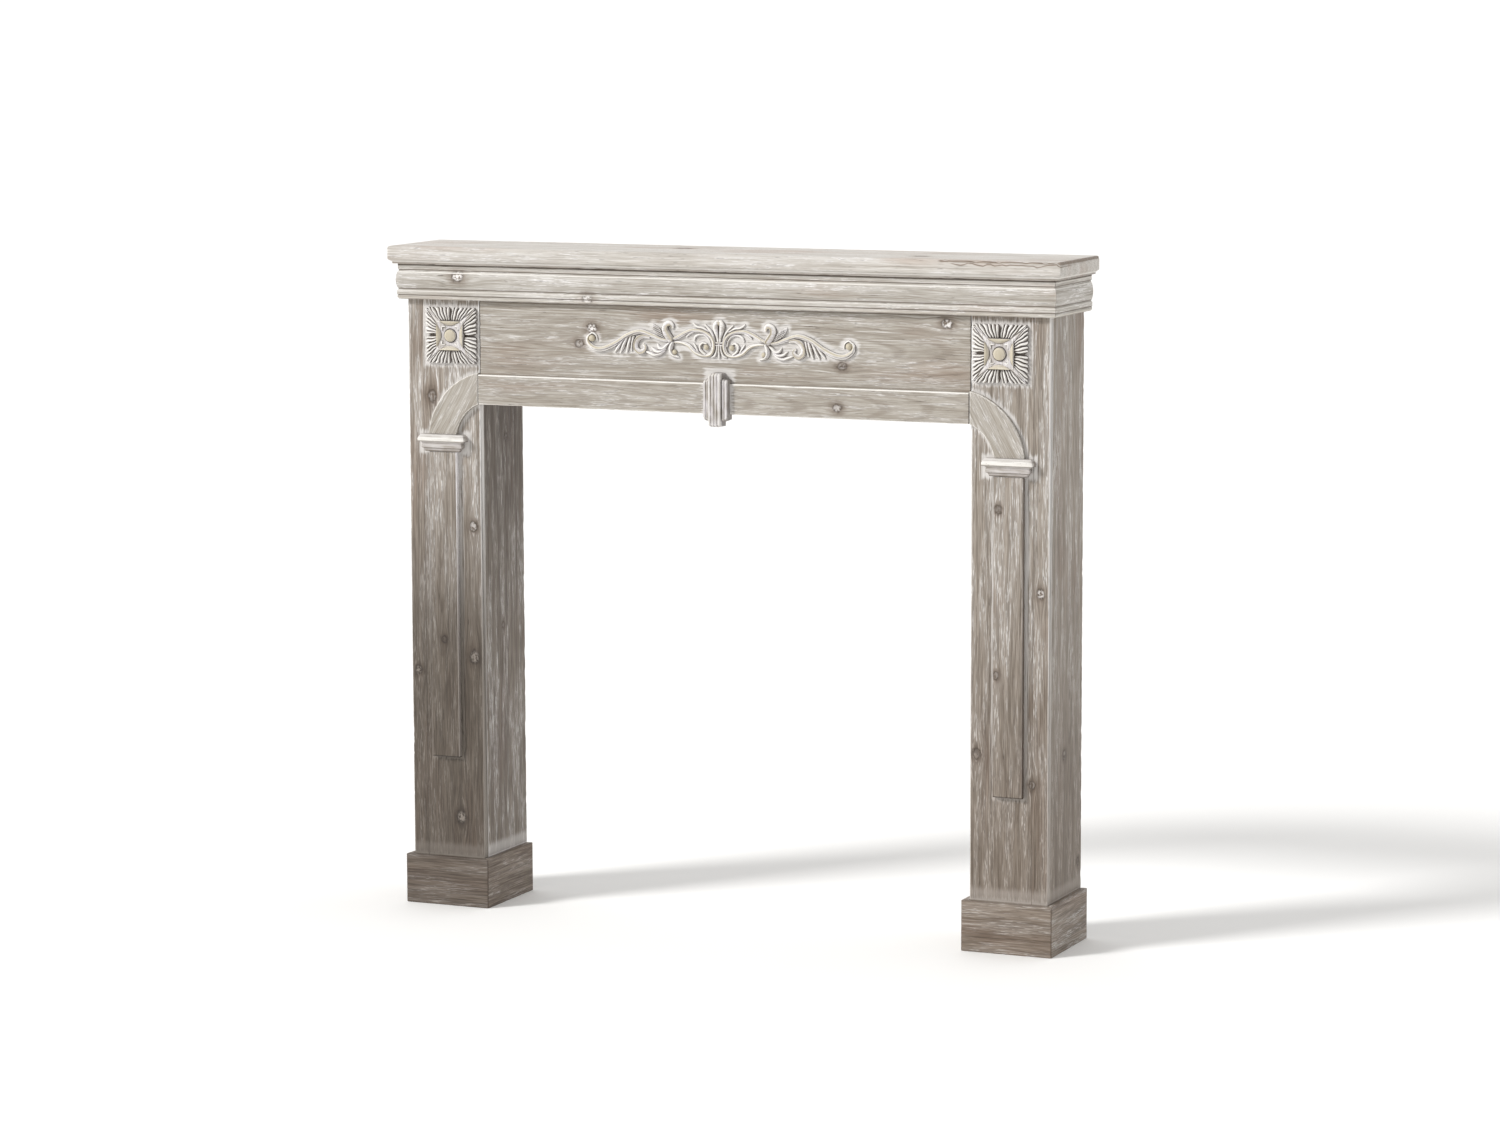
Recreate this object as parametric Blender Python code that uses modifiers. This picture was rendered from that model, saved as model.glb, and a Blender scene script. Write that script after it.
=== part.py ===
# Fireplace mantelpiece in limed fir: two open-backed box columns, a frieze board, a moulded shelf
# and applied carving. Metres, +Z up, the front faces -Y, the origin is under the middle of the piece.

import math

import bmesh
import bpy
from mathutils import Matrix, Vector

# Joints: the hairline left between pieces that touch
GAP = 0.0003

# Points nearer than this are one, and edges sharper than this stay crisp
WELD = 0.000001
CRISP = math.radians(32)

# Widths, along X
OPENING_WIDTH = 0.808
COLUMN_WIDTH = 0.123
SLAB_OVERHANG = 0.023

# Depths, along Y
COLUMN_DEPTH = 0.147
BOARD = 0.012

# Heights, along Z
OPENING_HEIGHT = 0.7885
RAIL_HEIGHT = 0.046
FRIEZE_HEIGHT = 0.1135
CROWN_HEIGHT = 0.0545
SLAB_THICKNESS = 0.0275

# Feet
PLINTH_HEIGHT = 0.077
PLINTH_BOARD = 0.0097

# Applied trim
RAIL_THICKNESS = 0.008
RAIL_EDGE = 0.0012
PILASTER_WIDTH = 0.047
PILASTER_THICKNESS = 0.008
PILASTER_LENGTH = 0.478
PILASTER_EDGE = 0.0015
CAPITAL_DROP = 0.0485
CAPITAL_HEIGHT = 0.0265
ARC_THICKNESS = 0.008
ARC_SETBACK = 0.0245
ARC_DROP = 0.011
ARC_OVERREACH = 0.002
ARC_STEPS = 14

# Shelf edge, top to bottom: share of the overhang, share of the thickness
SLAB_EDGE = ((0.86, 1.0), (0.955, 0.965), (1.0, 0.89), (1.0, 0.26), (0.78, 0.11), (0.76, 0.09), (0.76, 0.0))

# Crown moulding's face, top to bottom: how far it stands out, share of its height
CROWN_FACE = (
    (0.0112, 1.0), (0.0112, 0.85), (0.0095, 0.82), (0.0118, 0.77), (0.0133, 0.68), (0.0138, 0.56),
    (0.0134, 0.44), (0.0120, 0.33), (0.0106, 0.295), (0.0106, 0.265), (0.0124, 0.25), (0.0124, 0.13),
    (0.0110, 0.115), (0.0120, 0.09), (0.0120, 0.045), (0.0098, 0.0),
)

# Capital, top to bottom: half width beyond the pilaster's, how far it stands out, share of its height
CAPITAL_FACE = (
    (0.0125, 0.0105, 1.0), (0.0150, 0.0138, 0.88), (0.0165, 0.0155, 0.75), (0.0165, 0.0155, 0.58),
    (0.0115, 0.0130, 0.56), (0.0095, 0.0115, 0.44), (0.0110, 0.0126, 0.41), (0.0110, 0.0126, 0.21),
    (0.0080, 0.0112, 0.18), (0.0055, 0.0100, 0.0),
)

# Keystone: two reeded tiers, the middle one longer and standing further out
KEYSTONE_REED = 0.005
KEYSTONE_OUTER_REEDS = 8
KEYSTONE_MIDDLE_REEDS = 4
KEYSTONE_OUTER_PROUD = 0.018
KEYSTONE_MIDDLE_PROUD = 0.022
KEYSTONE_TOP = 0.0083
KEYSTONE_FOOT = 0.0108
KEYSTONE_STEP = 0.0082
KEYSTONE_CHAMFER = 0.0035
KEYSTONE_REED_HEIGHT = 0.0016
REED_STEPS = 4

# Rosette: a square of acanthus round a button
ROSETTE_SIZE = 0.0865
ROSETTE_MARGIN = 0.0033
ROSETTE_RISE = 0.0018
ROSETTE_HEIGHT = 0.0115
RIBS_PER_SIDE = 10

# Rosette's plan, in shares of its half width
LEAF_NOTCH = 0.965
LIP_SPREAD = 0.93
LIP_MIDDLE = 0.5
LIP_BEND_START = 0.35
LIP_BEND_POWER = 1.2
LIP_FOOT = 1.02
LIP_CREST = 0.94
STAR_REACH = 0.4
DISH_REACH = 0.25
BUTTON_REACH = 0.21

# Rosette's levels, in shares of its height: on a rib's crest and in the valley beside it
LEAF_RIM = (0.42, 0.2)
LEAF_BACK = (0.62, 0.42)
LEAF_FOOT = (0.45, 0.36)
SLOT_LEVEL = 0.12
LIP_LEVEL = 0.86
LIP_FALL = 0.3
STAR_LEVEL = 0.42
STAR_CLIMB = 0.3
DISH_LEVEL = 0.5
BUTTON_EDGE = 0.86

# Scroll ornament
SCROLL_LENGTH = 0.443
SCROLL_RISE = 0.0038
SCROLL_SECTION = 1.25
SCROLL_FULLNESS = 1.12
SCROLL_BED = 0.45
SCROLL_WELD = 0.00002
STROKE_ROUNDNESS = 1
STROKE_STEPS = 2
BOSS_SEGMENTS = 8
BOSS_RINGS = 5

# Finishes: name, sRGB colour, roughness
COLUMN_FINISH = ("Limed fir column", (148, 138, 128), 0.7)
PLINTH_FINISH = ("Limed fir plinth", (128, 116, 106), 0.72)
HEAD_FINISH = ("Limed fir frieze", (176, 166, 154), 0.68)
CARVING_FINISH = ("Limed carving", (205, 198, 186), 0.6)

# Everything that follows from those sizes
OPENING_SIDE = OPENING_WIDTH / 2
COLUMN_SIDE = OPENING_SIDE + COLUMN_WIDTH
COLUMN_MIDDLE = OPENING_SIDE + COLUMN_WIDTH / 2
DEPTH = COLUMN_DEPTH + SLAB_OVERHANG
BACK = DEPTH / 2
FRONT = BACK - COLUMN_DEPTH
RAIL_TOP = OPENING_HEIGHT + RAIL_HEIGHT
CROWN_FOOT = RAIL_TOP + FRIEZE_HEIGHT
SLAB_FOOT = CROWN_FOOT + CROWN_HEIGHT
FRIEZE_MIDDLE = RAIL_TOP + FRIEZE_HEIGHT / 2
CAPITAL_TOP = OPENING_HEIGHT - CAPITAL_DROP
CAPITAL_FOOT = CAPITAL_TOP - CAPITAL_HEIGHT
SIDES = (("left", -1), ("right", 1))

# Turns a flat drawing, x to the right and y up, into one that stands upright, its thickness forward
STANDING = Matrix.Rotation(math.pi / 2, 4, "X")

# Turns a section, x forward and y up, into one that runs from left to right
RUNNING = Matrix(((0.0, 0.0, 1.0, 0.0), (-1.0, 0.0, 0.0, 0.0), (0.0, 1.0, 0.0, 0.0), (0.0, 0.0, 0.0, 1.0)))

# The scroll's right half. Every stroke is a tapering round-backed stem through a few points, each
# with its half width. Units are SCROLL_LENGTH / SCROLL_UNITS, measured from the tie in the middle.
SCROLL_UNITS = 443.0
SCROLL_STROKES = {
    "loop": ((79, -0.5, 1.6), (62, -1.5, 2.0), (50, -5.5, 2.7), (38, -15.5, 3.0), (24, -19.8, 2.4),
             (13, -16.5, 2.8), (8.8, -5, 3.2), (12.5, 7.5, 3.0), (24, 15.5, 2.8), (40, 18, 2.9),
             (54, 14, 3.0), (68, 6.5, 2.8)),
    "stem": ((66, 7.5, 2.6), (80, 2.2, 2.5), (94, 2.5, 2.6), (110, 8, 3.1), (130, 13.3, 3.6),
             (150, 7.5, 3.6), (170, -5, 3.7), (190, -13.7, 3.9), (205, -14.3, 3.8), (215.5, -8, 3.2),
             (218.8, -0.5, 2.6), (216.5, 5, 1.9)),
    "eye_ring": ((217.5, 3.5, 1.9), (211, 8.8, 1.5), (204.2, 5, 1.3), (202.8, -2, 1.0)),
    "inner_arm": ((13, -5, 1.6), (15.8, 4, 1.8), (23, 10.8, 1.8), (32, 11.8, 1.8), (38.5, 8.3, 1.9),
                  (40.5, 3.5, 1.5)),
    "inner_curl": ((23, -18, 2.2), (30, -12, 2.4), (31, -5.5, 2.3), (27, -1, 1.8), (21.5, -2, 1.4)),
    "inner_leaf": ((34, -15, 1.8), (38, -8, 2.0), (41.5, -2.5, 1.1)),
    "loop_lobe": ((43, 15, 2.0), (50, 11, 2.0), (53.5, 7.5, 1.1)),
    "leaf_low": ((6.8, 1, 1.8), (10, 11, 2.2), (15, 18.5, 2.3), (22.5, 26, 1.3)),
    "leaf_high": ((17, 17, 2.0), (26, 21.5, 2.3), (35, 23, 2.2), (42, 27.8, 1.2)),
    "palmette_lobe": ((1.5, 1.5, 1.8), (2.4, 9, 2.3), (4.4, 17, 3.7), (5.4, 25, 4.4), (3.4, 30.5, 3.4),
                      (0.6, 31.5, 2.6)),
    "tail": ((3, -4, 1.8), (3.8, -12, 2.1), (7.2, -19.5, 2.0), (12, -21.8, 1.2)),
    "hook": ((80, 3.5, 5.2), (85, 10, 5.4), (88.5, 17, 5.0), (87.3, 24, 4.4), (82, 27.3, 4.0),
             (77.6, 25, 3.3), (76.6, 21.5, 2.4)),
    "seed_leaf": ((90, 4.5, 2.2), (96, 11, 3.8), (102.5, 17, 4.3), (107, 21, 3.2), (110, 24.5, 1.4)),
    "drop": ((76.5, -1.5, 3.0), (79.3, -8.5, 3.8), (79, -15.5, 3.6), (75, -20.8, 2.9), (67, -23.3, 1.4)),
    "leaf_one": ((80, -1, 1.6), (86, -5.8, 2.4), (92, -10.8, 3.2), (98, -10.5, 3.1), (101.5, -5.5, 1.3)),
    "leaf_two": ((89, -11.5, 2.2), (97, -16, 3.2), (104, -15.8, 3.0), (111, -10.5, 1.2)),
    "leaf_three": ((90, -14.5, 1.8), (97, -19.3, 2.9), (106, -21.4, 3.0), (114.5, -18.8, 2.4),
                   (121, -16, 1.4)),
    "c_scroll": ((116, 5.8, 2.6), (125, 6.5, 3.4), (133, 3, 4.0), (137.6, -4.5, 4.0), (137, -12.5, 4.0),
                 (131, -17.3, 3.8), (124.5, -15.3, 3.2), (122, -10, 2.6), (124.5, -6.5, 1.8)),
    "blade_one": ((141.5, 5, 2.3), (143.5, -5, 2.5), (145.5, -15.5, 1.3)),
    "blade_two": ((146, 4.5, 2.5), (149.5, -7, 3.0), (153, -18.5, 1.4)),
    "blade_three": ((152.5, 2.5, 2.5), (158.5, -9, 3.0), (163, -19, 1.4)),
    "blade_four": ((160, -2.5, 2.3), (166.5, -10.5, 2.8), (172.5, -18.5, 1.3)),
}
SCROLL_BOSSES = {"eye": (211, 1, 5.2), "inner": (21, -7, 4.2), "drop": (73.3, -15.8, 3.9)}

# The scroll's middle, which isn't mirrored
SCROLL_MIDDLE = {
    "tie_high": ((-7, 0, 1.7), (7, 0, 1.7)),
    "tie_low": ((-7, -4, 1.7), (7, -4, 1.7)),
    "tail_middle": ((0, -3, 1.9), (0, -14, 2.5), (0, -22, 1.5)),
}


def linear(channel):
    """One sRGB channel, 0 to 255, as linear light."""
    share = channel / 255
    return share / 12.92 if share <= 0.04045 else ((share + 0.055) / 1.055) ** 2.4


def limed_fir(finish):
    """A matt whitewashed wood."""
    name, colour, roughness = finish
    material = bpy.data.materials.new(name)
    material.use_nodes = True
    shader = material.node_tree.nodes["Principled BSDF"]
    shader.inputs["Base Color"].default_value = (*(linear(channel) for channel in colour), 1.0)
    shader.inputs["Roughness"].default_value = roughness
    shader.inputs["Metallic"].default_value = 0.0
    return material


def add_piece(name, mesh, collection, material=None):
    """Put a mesh in the scene as one named piece."""
    piece = bpy.data.objects.new(name, mesh)
    collection.objects.link(piece)
    if material:
        mesh.materials.clear()
        mesh.materials.append(material)
    return piece


def hide_cutter(cutter):
    cutter.hide_render = True
    cutter.display_type = "WIRE"


def mesh_from(bm, name):
    """Turn a bmesh into a mesh, its faces turned outwards, smooth but for its crisp edges."""
    bmesh.ops.recalc_face_normals(bm, faces=bm.faces)
    mesh = bpy.data.meshes.new(name)
    bm.to_mesh(mesh)
    bm.free()
    mesh.shade_smooth()
    mesh.set_sharp_from_angle(angle=CRISP)
    return mesh


def box_bmesh(low, high):
    """A cuboid between two corners."""
    low, high = Vector(low), Vector(high)
    size = high - low
    place = Matrix.Translation((low + high) / 2) @ Matrix.Diagonal((size.x, size.y, size.z, 1.0))
    bm = bmesh.new()
    bmesh.ops.create_cube(bm, size=1.0, matrix=place)
    return bm


def board(name, low, high, material, collection, edge=0.0):
    """A plain board between two corners, its edges eased by a small bevel where one is given."""
    piece = add_piece(name, mesh_from(box_bmesh(low, high), name), collection, material)
    if edge:
        bevel = piece.modifiers.new("Eased edge", "BEVEL")
        bevel.width = edge
        bevel.segments = 1
    return piece


def cut_away(bm, point, normal):
    """Cut off what lies beyond a plane and close the cut."""
    geometry = list(bm.verts) + list(bm.edges) + list(bm.faces)
    cut = bmesh.ops.bisect_plane(bm, geom=geometry, plane_co=point, plane_no=normal, clear_outer=True)
    rim = [item for item in cut["geom_cut"] if isinstance(item, bmesh.types.BMEdge)]
    bmesh.ops.contextual_create(bm, geom=rim)


def loft(rings):
    """A skin over closed rings of points, one after another, with both end rings filled."""
    bm = bmesh.new()
    loops = []
    for ring in rings:
        corners = [bm.verts.new(point) for point in ring]
        following = corners[1:] + corners[:1]
        loops.append([bm.edges.new(pair) for pair in zip(corners, following)])
    for lower, upper in zip(loops, loops[1:]):
        bmesh.ops.bridge_loops(bm, edges=lower + upper)
    for end in (loops[0], loops[-1]):
        bmesh.ops.contextual_create(bm, geom=end)
    return bm


def stepped_block(rims):
    """A block of rectangles one above another: each rim is left, right, front, back and height."""
    rings = []
    for left, right, front, back, height in rims:
        corners = (left, front), (right, front), (right, back), (left, back)
        rings.append([(x, y, height) for x, y in corners])
    return loft(rings)


def prism(outline, thickness, name):
    """A flat outline of x, y points given an even thickness along z, as one welded bmesh."""
    curve = bpy.data.curves.new(name, "CURVE")
    curve.dimensions = "2D"
    curve.fill_mode = "BOTH"
    curve.extrude = thickness / 2
    spline = curve.splines.new("POLY")
    spline.points.add(len(outline) - 1)
    for point, (x, y) in zip(spline.points, outline):
        point.co = (x, y, 0.0, 1.0)
    spline.use_cyclic_u = True
    bm = curve_bmesh(curve)
    bmesh.ops.translate(bm, verts=bm.verts, vec=(0.0, 0.0, thickness / 2))
    return bm


def curve_bmesh(curve):
    """The welded solid of a curve, as a bmesh."""
    guide = bpy.data.objects.new(curve.name, curve)
    bpy.context.scene.collection.objects.link(guide)
    mesh = bpy.data.meshes.new_from_object(guide.evaluated_get(bpy.context.evaluated_depsgraph_get()))
    bm = bmesh.new()
    bm.from_mesh(mesh)
    bmesh.ops.remove_doubles(bm, verts=bm.verts, dist=WELD)
    bpy.data.objects.remove(guide)
    bpy.data.curves.remove(curve)
    bpy.data.meshes.remove(mesh)
    return bm


def boards_of_column(side, sign, material, collection):
    """The front board and the two side boards of one box column. The back is open."""
    inner, outer = sorted((sign * OPENING_SIDE, sign * COLUMN_SIDE), key=abs)
    top = SLAB_FOOT - GAP
    low_x, high_x = sorted((inner, outer))
    board("column_front_" + side, (low_x, FRONT, 0.0), (high_x, FRONT + BOARD, top), material, collection)
    for part, face, step in (("inner", inner, sign), ("outer", outer, -sign)):
        low_x, high_x = sorted((face, face + step * BOARD))
        board("column_" + part + "_side_" + side, (low_x, FRONT + BOARD + GAP, 0.0), (high_x, BACK, top),
              material, collection)


def plinth(side, sign, material, collection):
    """Three boards round the foot of a column, mitred at the two front corners."""
    near, far = OPENING_SIDE - GAP, COLUMN_SIDE + GAP
    front = FRONT - GAP
    low_x, high_x = sorted((sign * near, sign * far))
    front_board = box_bmesh((low_x - PLINTH_BOARD, front - PLINTH_BOARD, 0.0),
                            (high_x + PLINTH_BOARD, front, PLINTH_HEIGHT))
    for corner_x, away in ((low_x, -1.0), (high_x, 1.0)):
        corner = Vector((corner_x, front, 0.0))
        mitre = Vector((away, 1.0, 0.0)).normalized()
        cut_away(front_board, corner - mitre * GAP / 2, mitre)
        low, high = sorted((corner_x, corner_x + away * PLINTH_BOARD))
        side_board = box_bmesh((low, front - PLINTH_BOARD, 0.0), (high, BACK, PLINTH_HEIGHT))
        cut_away(side_board, corner + mitre * GAP / 2, -mitre)
        part = "inner" if abs(corner_x) < COLUMN_MIDDLE else "outer"
        name = "plinth_" + part + "_side_" + side
        add_piece(name, mesh_from(side_board, name), collection, material)
    add_piece("plinth_front_" + side, mesh_from(front_board, "plinth_front_" + side), collection, material)


def pilaster(side, sign, material, collection):
    """The raised board on the column's face."""
    middle = sign * COLUMN_MIDDLE
    top = CAPITAL_FOOT - GAP
    board("pilaster_panel_" + side,
          (middle - PILASTER_WIDTH / 2, FRONT - GAP - PILASTER_THICKNESS, top - PILASTER_LENGTH),
          (middle + PILASTER_WIDTH / 2, FRONT - GAP, top), material, collection, PILASTER_EDGE)


def capital(side, sign, material, collection):
    """The moulded cap over the pilaster, with its mouldings returned at both ends."""
    middle = sign * COLUMN_MIDDLE
    back = FRONT - GAP
    rims = []
    for beyond, proud, share in reversed(CAPITAL_FACE):
        half = PILASTER_WIDTH / 2 + beyond
        rims.append((middle - half, middle + half, back - proud, back, CAPITAL_FOOT + share * CAPITAL_HEIGHT))
    add_piece("capital_" + side, mesh_from(stepped_block(rims), "capital_" + side), collection, material)


def arc_bracket(side, sign, material, collection):
    """The quarter-arc band that rises from the capital and runs into the rail."""
    middle_x = OPENING_SIDE - ARC_SETBACK
    middle_z = CAPITAL_TOP - ARC_DROP
    start_x = OPENING_SIDE + GAP
    foot = CAPITAL_TOP + GAP
    outline = []
    for top, order in ((RAIL_TOP + ARC_OVERREACH, 1), (OPENING_HEIGHT, -1)):
        radius = math.hypot(ARC_SETBACK, top - middle_z)
        high = math.acos((start_x - middle_x) / radius)
        low = math.asin((foot - middle_z) / radius)
        arc = []
        for step in range(ARC_STEPS + 1):
            angle = high + (low - high) * step / ARC_STEPS
            arc.append((sign * (middle_x + radius * math.cos(angle)), middle_z + radius * math.sin(angle)))
        outline += arc[::order]
    bm = prism(outline, ARC_THICKNESS, "arc_bracket_" + side)
    bmesh.ops.transform(bm, matrix=Matrix.Translation((0.0, FRONT - GAP, 0.0)) @ STANDING, verts=bm.verts)
    add_piece("arc_bracket_" + side, mesh_from(bm, "arc_bracket_" + side), collection, material)


def shelf(material, collection):
    """The shelf board. Its edge is moulded on the front and both ends and cut square at the back."""
    rims = []
    for reach, share in reversed(SLAB_EDGE):
        out = reach * SLAB_OVERHANG
        height = SLAB_FOOT + share * SLAB_THICKNESS
        rims.append((-COLUMN_SIDE - out, COLUMN_SIDE + out, FRONT - out, BACK, height))
    add_piece("shelf_slab", mesh_from(stepped_block(rims), "shelf_slab"), collection, material)


def crown(material, collection):
    """The moulding under the shelf, in three lengths, mitred at the front corners."""
    height = CROWN_HEIGHT - GAP
    face = [(proud, CROWN_FOOT + share * height) for proud, share in CROWN_FACE]
    outline = [(GAP, CROWN_FOOT + height)] + face + [(GAP, CROWN_FOOT)]
    widest = max(proud for proud, share in CROWN_FACE)
    front_length = 2 * (COLUMN_SIDE + widest)
    side_length = COLUMN_DEPTH + widest
    for name, length, turn, corner in (
            ("front", front_length, 0.0, Vector((-COLUMN_SIDE - widest, FRONT, 0.0))),
            ("left", side_length, -math.pi / 2, Vector((-COLUMN_SIDE, BACK, 0.0))),
            ("right", side_length, math.pi / 2, Vector((COLUMN_SIDE, FRONT - widest, 0.0)))):
        bm = prism(outline, length, "crown_moulding_" + name)
        place = Matrix.Translation(corner) @ Matrix.Rotation(turn, 4, "Z") @ RUNNING
        bmesh.ops.transform(bm, matrix=place, verts=bm.verts)
        for sign in (-1, 1):
            mitre = Vector((sign, 1.0, 0.0)).normalized()
            point = Vector((sign * COLUMN_SIDE, FRONT, 0.0))
            if name == "front":
                cut_away(bm, point - mitre * GAP / 2, mitre)
            elif (name == "right") == (sign == 1):
                cut_away(bm, point + mitre * GAP / 2, -mitre)
        add_piece("crown_moulding_" + name, mesh_from(bm, "crown_moulding_" + name), collection, material)


def frieze_and_rail(material, collection):
    """The board between the columns and the band planted along its foot."""
    side = OPENING_SIDE - GAP
    board("frieze_board", (-side, FRONT, OPENING_HEIGHT), (side, FRONT + BOARD, SLAB_FOOT - GAP),
          material, collection)
    board("lower_rail", (-side, FRONT - GAP - RAIL_THICKNESS, OPENING_HEIGHT), (side, FRONT - GAP, RAIL_TOP),
          material, collection, RAIL_EDGE)


def reeded_tier(name, reeds, proud, low, high):
    """An upright block whose face is a row of half-round reeds, its top and foot chamfered."""
    half = reeds * KEYSTONE_REED / 2
    outline = [(half, 0.0), (-half, 0.0)]
    for reed in range(reeds):
        for step in range(REED_STEPS + 1):
            if step == 0 and reed:
                continue
            share = step / REED_STEPS
            bulge = KEYSTONE_REED_HEIGHT * math.sin(math.pi * share)
            outline.append((-half + (reed + share) * KEYSTONE_REED, -(proud - KEYSTONE_REED_HEIGHT + bulge)))
    bm = prism(outline, high - low, name)
    bmesh.ops.translate(bm, verts=bm.verts, vec=(0.0, FRONT - GAP, low))
    for edge_z, away in ((high, 1.0), (low, -1.0)):
        slope = Vector((0.0, -1.0, away)).normalized()
        front_edge = Vector((0.0, FRONT - GAP - proud, edge_z - away * KEYSTONE_CHAMFER))
        cut_away(bm, front_edge, slope)
        for sign in (-1, 1):
            slope = Vector((sign, 0.0, away)).normalized()
            side_edge = Vector((sign * half, 0.0, edge_z - away * KEYSTONE_CHAMFER))
            cut_away(bm, side_edge, slope)
    return mesh_from(bm, name)


def keystone(material, collection, cutters):
    """The stepped keystone, housed over the rail."""
    top = RAIL_TOP + KEYSTONE_TOP
    foot = OPENING_HEIGHT - KEYSTONE_FOOT
    outer = reeded_tier("keystone", KEYSTONE_OUTER_REEDS, KEYSTONE_OUTER_PROUD, foot, top)
    piece = add_piece("keystone", outer, collection, material)
    middle = reeded_tier("keystone_middle_tier", KEYSTONE_MIDDLE_REEDS, KEYSTONE_MIDDLE_PROUD,
                         foot - KEYSTONE_STEP, top + KEYSTONE_STEP)
    tier = add_piece("keystone_middle_tier", middle, cutters)
    reach = KEYSTONE_OUTER_REEDS * KEYSTONE_REED
    housing = box_bmesh((-reach, FRONT - 2 * GAP - RAIL_THICKNESS, OPENING_HEIGHT - GAP),
                        (reach, FRONT + BOARD, RAIL_TOP + GAP))
    slot = add_piece("keystone_housing", mesh_from(housing, "keystone_housing"), cutters)
    for cutter, operation in ((tier, "UNION"), (slot, "DIFFERENCE")):
        hide_cutter(cutter)
        cut = piece.modifiers.new(cutter.name, "BOOLEAN")
        cut.operation = operation
        cut.object = cutter


def stroke_bmesh(points, sign):
    """A tapering round stem through the given points, flat on the drawing's plane."""
    unit = SCROLL_LENGTH / SCROLL_UNITS
    curve = bpy.data.curves.new("stroke", "CURVE")
    curve.dimensions = "3D"
    curve.bevel_depth = unit
    curve.bevel_resolution = STROKE_ROUNDNESS
    curve.use_fill_caps = True
    curve.resolution_u = STROKE_STEPS
    curve.twist_mode = "Z_UP"
    spline = curve.splines.new("BEZIER")
    spline.bezier_points.add(len(points) - 1)
    for point, (x, z, half_width) in zip(spline.bezier_points, points):
        point.co = (sign * x * unit, z * unit, 0.0)
        point.handle_left_type = "AUTO"
        point.handle_right_type = "AUTO"
        point.radius = half_width * SCROLL_FULLNESS
    return curve_bmesh(curve)


def scroll(material, collection, cutters):
    """The carved scroll: every stroke, boss and tie joined into one piece, flat behind."""
    unit = SCROLL_LENGTH / SCROLL_UNITS
    strokes = bmesh.new()
    drawn = [(points, sign) for points in SCROLL_STROKES.values() for sign in (-1, 1)]
    drawn += [(points, 1) for points in SCROLL_MIDDLE.values()]
    middle = None
    for points, sign in drawn:
        bm = stroke_bmesh(points, sign)
        if points is SCROLL_MIDDLE["tie_high"]:
            middle = bm
            continue
        stroke = mesh_from(bm, "stroke")
        strokes.from_mesh(stroke)
        bpy.data.meshes.remove(stroke)
    for x, z, radius in SCROLL_BOSSES.values():
        for sign in (-1, 1):
            place = Matrix.Translation((sign * x * unit, z * unit, 0.0))
            bmesh.ops.create_uvsphere(strokes, u_segments=BOSS_SEGMENTS, v_segments=BOSS_RINGS,
                                      radius=radius * unit, matrix=place)
    bed = FRONT - GAP
    place = Matrix.Translation((0.0, bed - SCROLL_BED * unit, FRIEZE_MIDDLE + SCROLL_RISE)) @ STANDING
    place = place @ Matrix.Diagonal((1.0, 1.0, SCROLL_SECTION, 1.0))
    for bm in (middle, strokes):
        bmesh.ops.transform(bm, matrix=place, verts=bm.verts)
    tie = add_piece("scroll_tie", mesh_from(middle, "scroll_tie"), cutters)
    carving = add_piece("scroll_strokes", mesh_from(strokes, "scroll_strokes"), cutters)
    joined = tie.modifiers.new("Joined", "BOOLEAN")
    joined.operation = "UNION"
    joined.object = carving
    joined.use_self = True
    hide_cutter(tie)
    hide_cutter(carving)
    whole = bpy.data.meshes.new_from_object(tie.evaluated_get(bpy.context.evaluated_depsgraph_get()))
    bm = bmesh.new()
    bm.from_mesh(whole)
    bpy.data.meshes.remove(whole)
    bmesh.ops.remove_doubles(bm, verts=bm.verts, dist=SCROLL_WELD)
    geometry = list(bm.verts) + list(bm.edges) + list(bm.faces)
    cut = bmesh.ops.bisect_plane(bm, geom=geometry, plane_co=(0.0, bed, 0.0), plane_no=(0.0, 1.0, 0.0),
                                 clear_outer=True)
    rim = [item for item in cut["geom_cut"] if isinstance(item, bmesh.types.BMEdge)]
    bmesh.ops.triangle_fill(bm, edges=rim, use_beauty=True, normal=(0.0, 1.0, 0.0))
    add_piece("scroll_applique", mesh_from(bm, "scroll_applique"), collection, material)


def rosette_ring(reach, plan, heights):
    """One closed ring of the rosette, a quarter at a time, from its plan and its heights."""
    ring = []
    for quarter in range(4):
        turn = Matrix.Rotation(quarter * math.pi / 2, 3, "Z")
        for step in range(2 * RIBS_PER_SIDE):
            along = step / RIBS_PER_SIDE - 1.0
            ridge = step % 2
            x, y = plan(along, ridge)
            ring.append(turn @ Vector((x * reach, -y * reach, heights(along, ridge))))
    return ring


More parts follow.
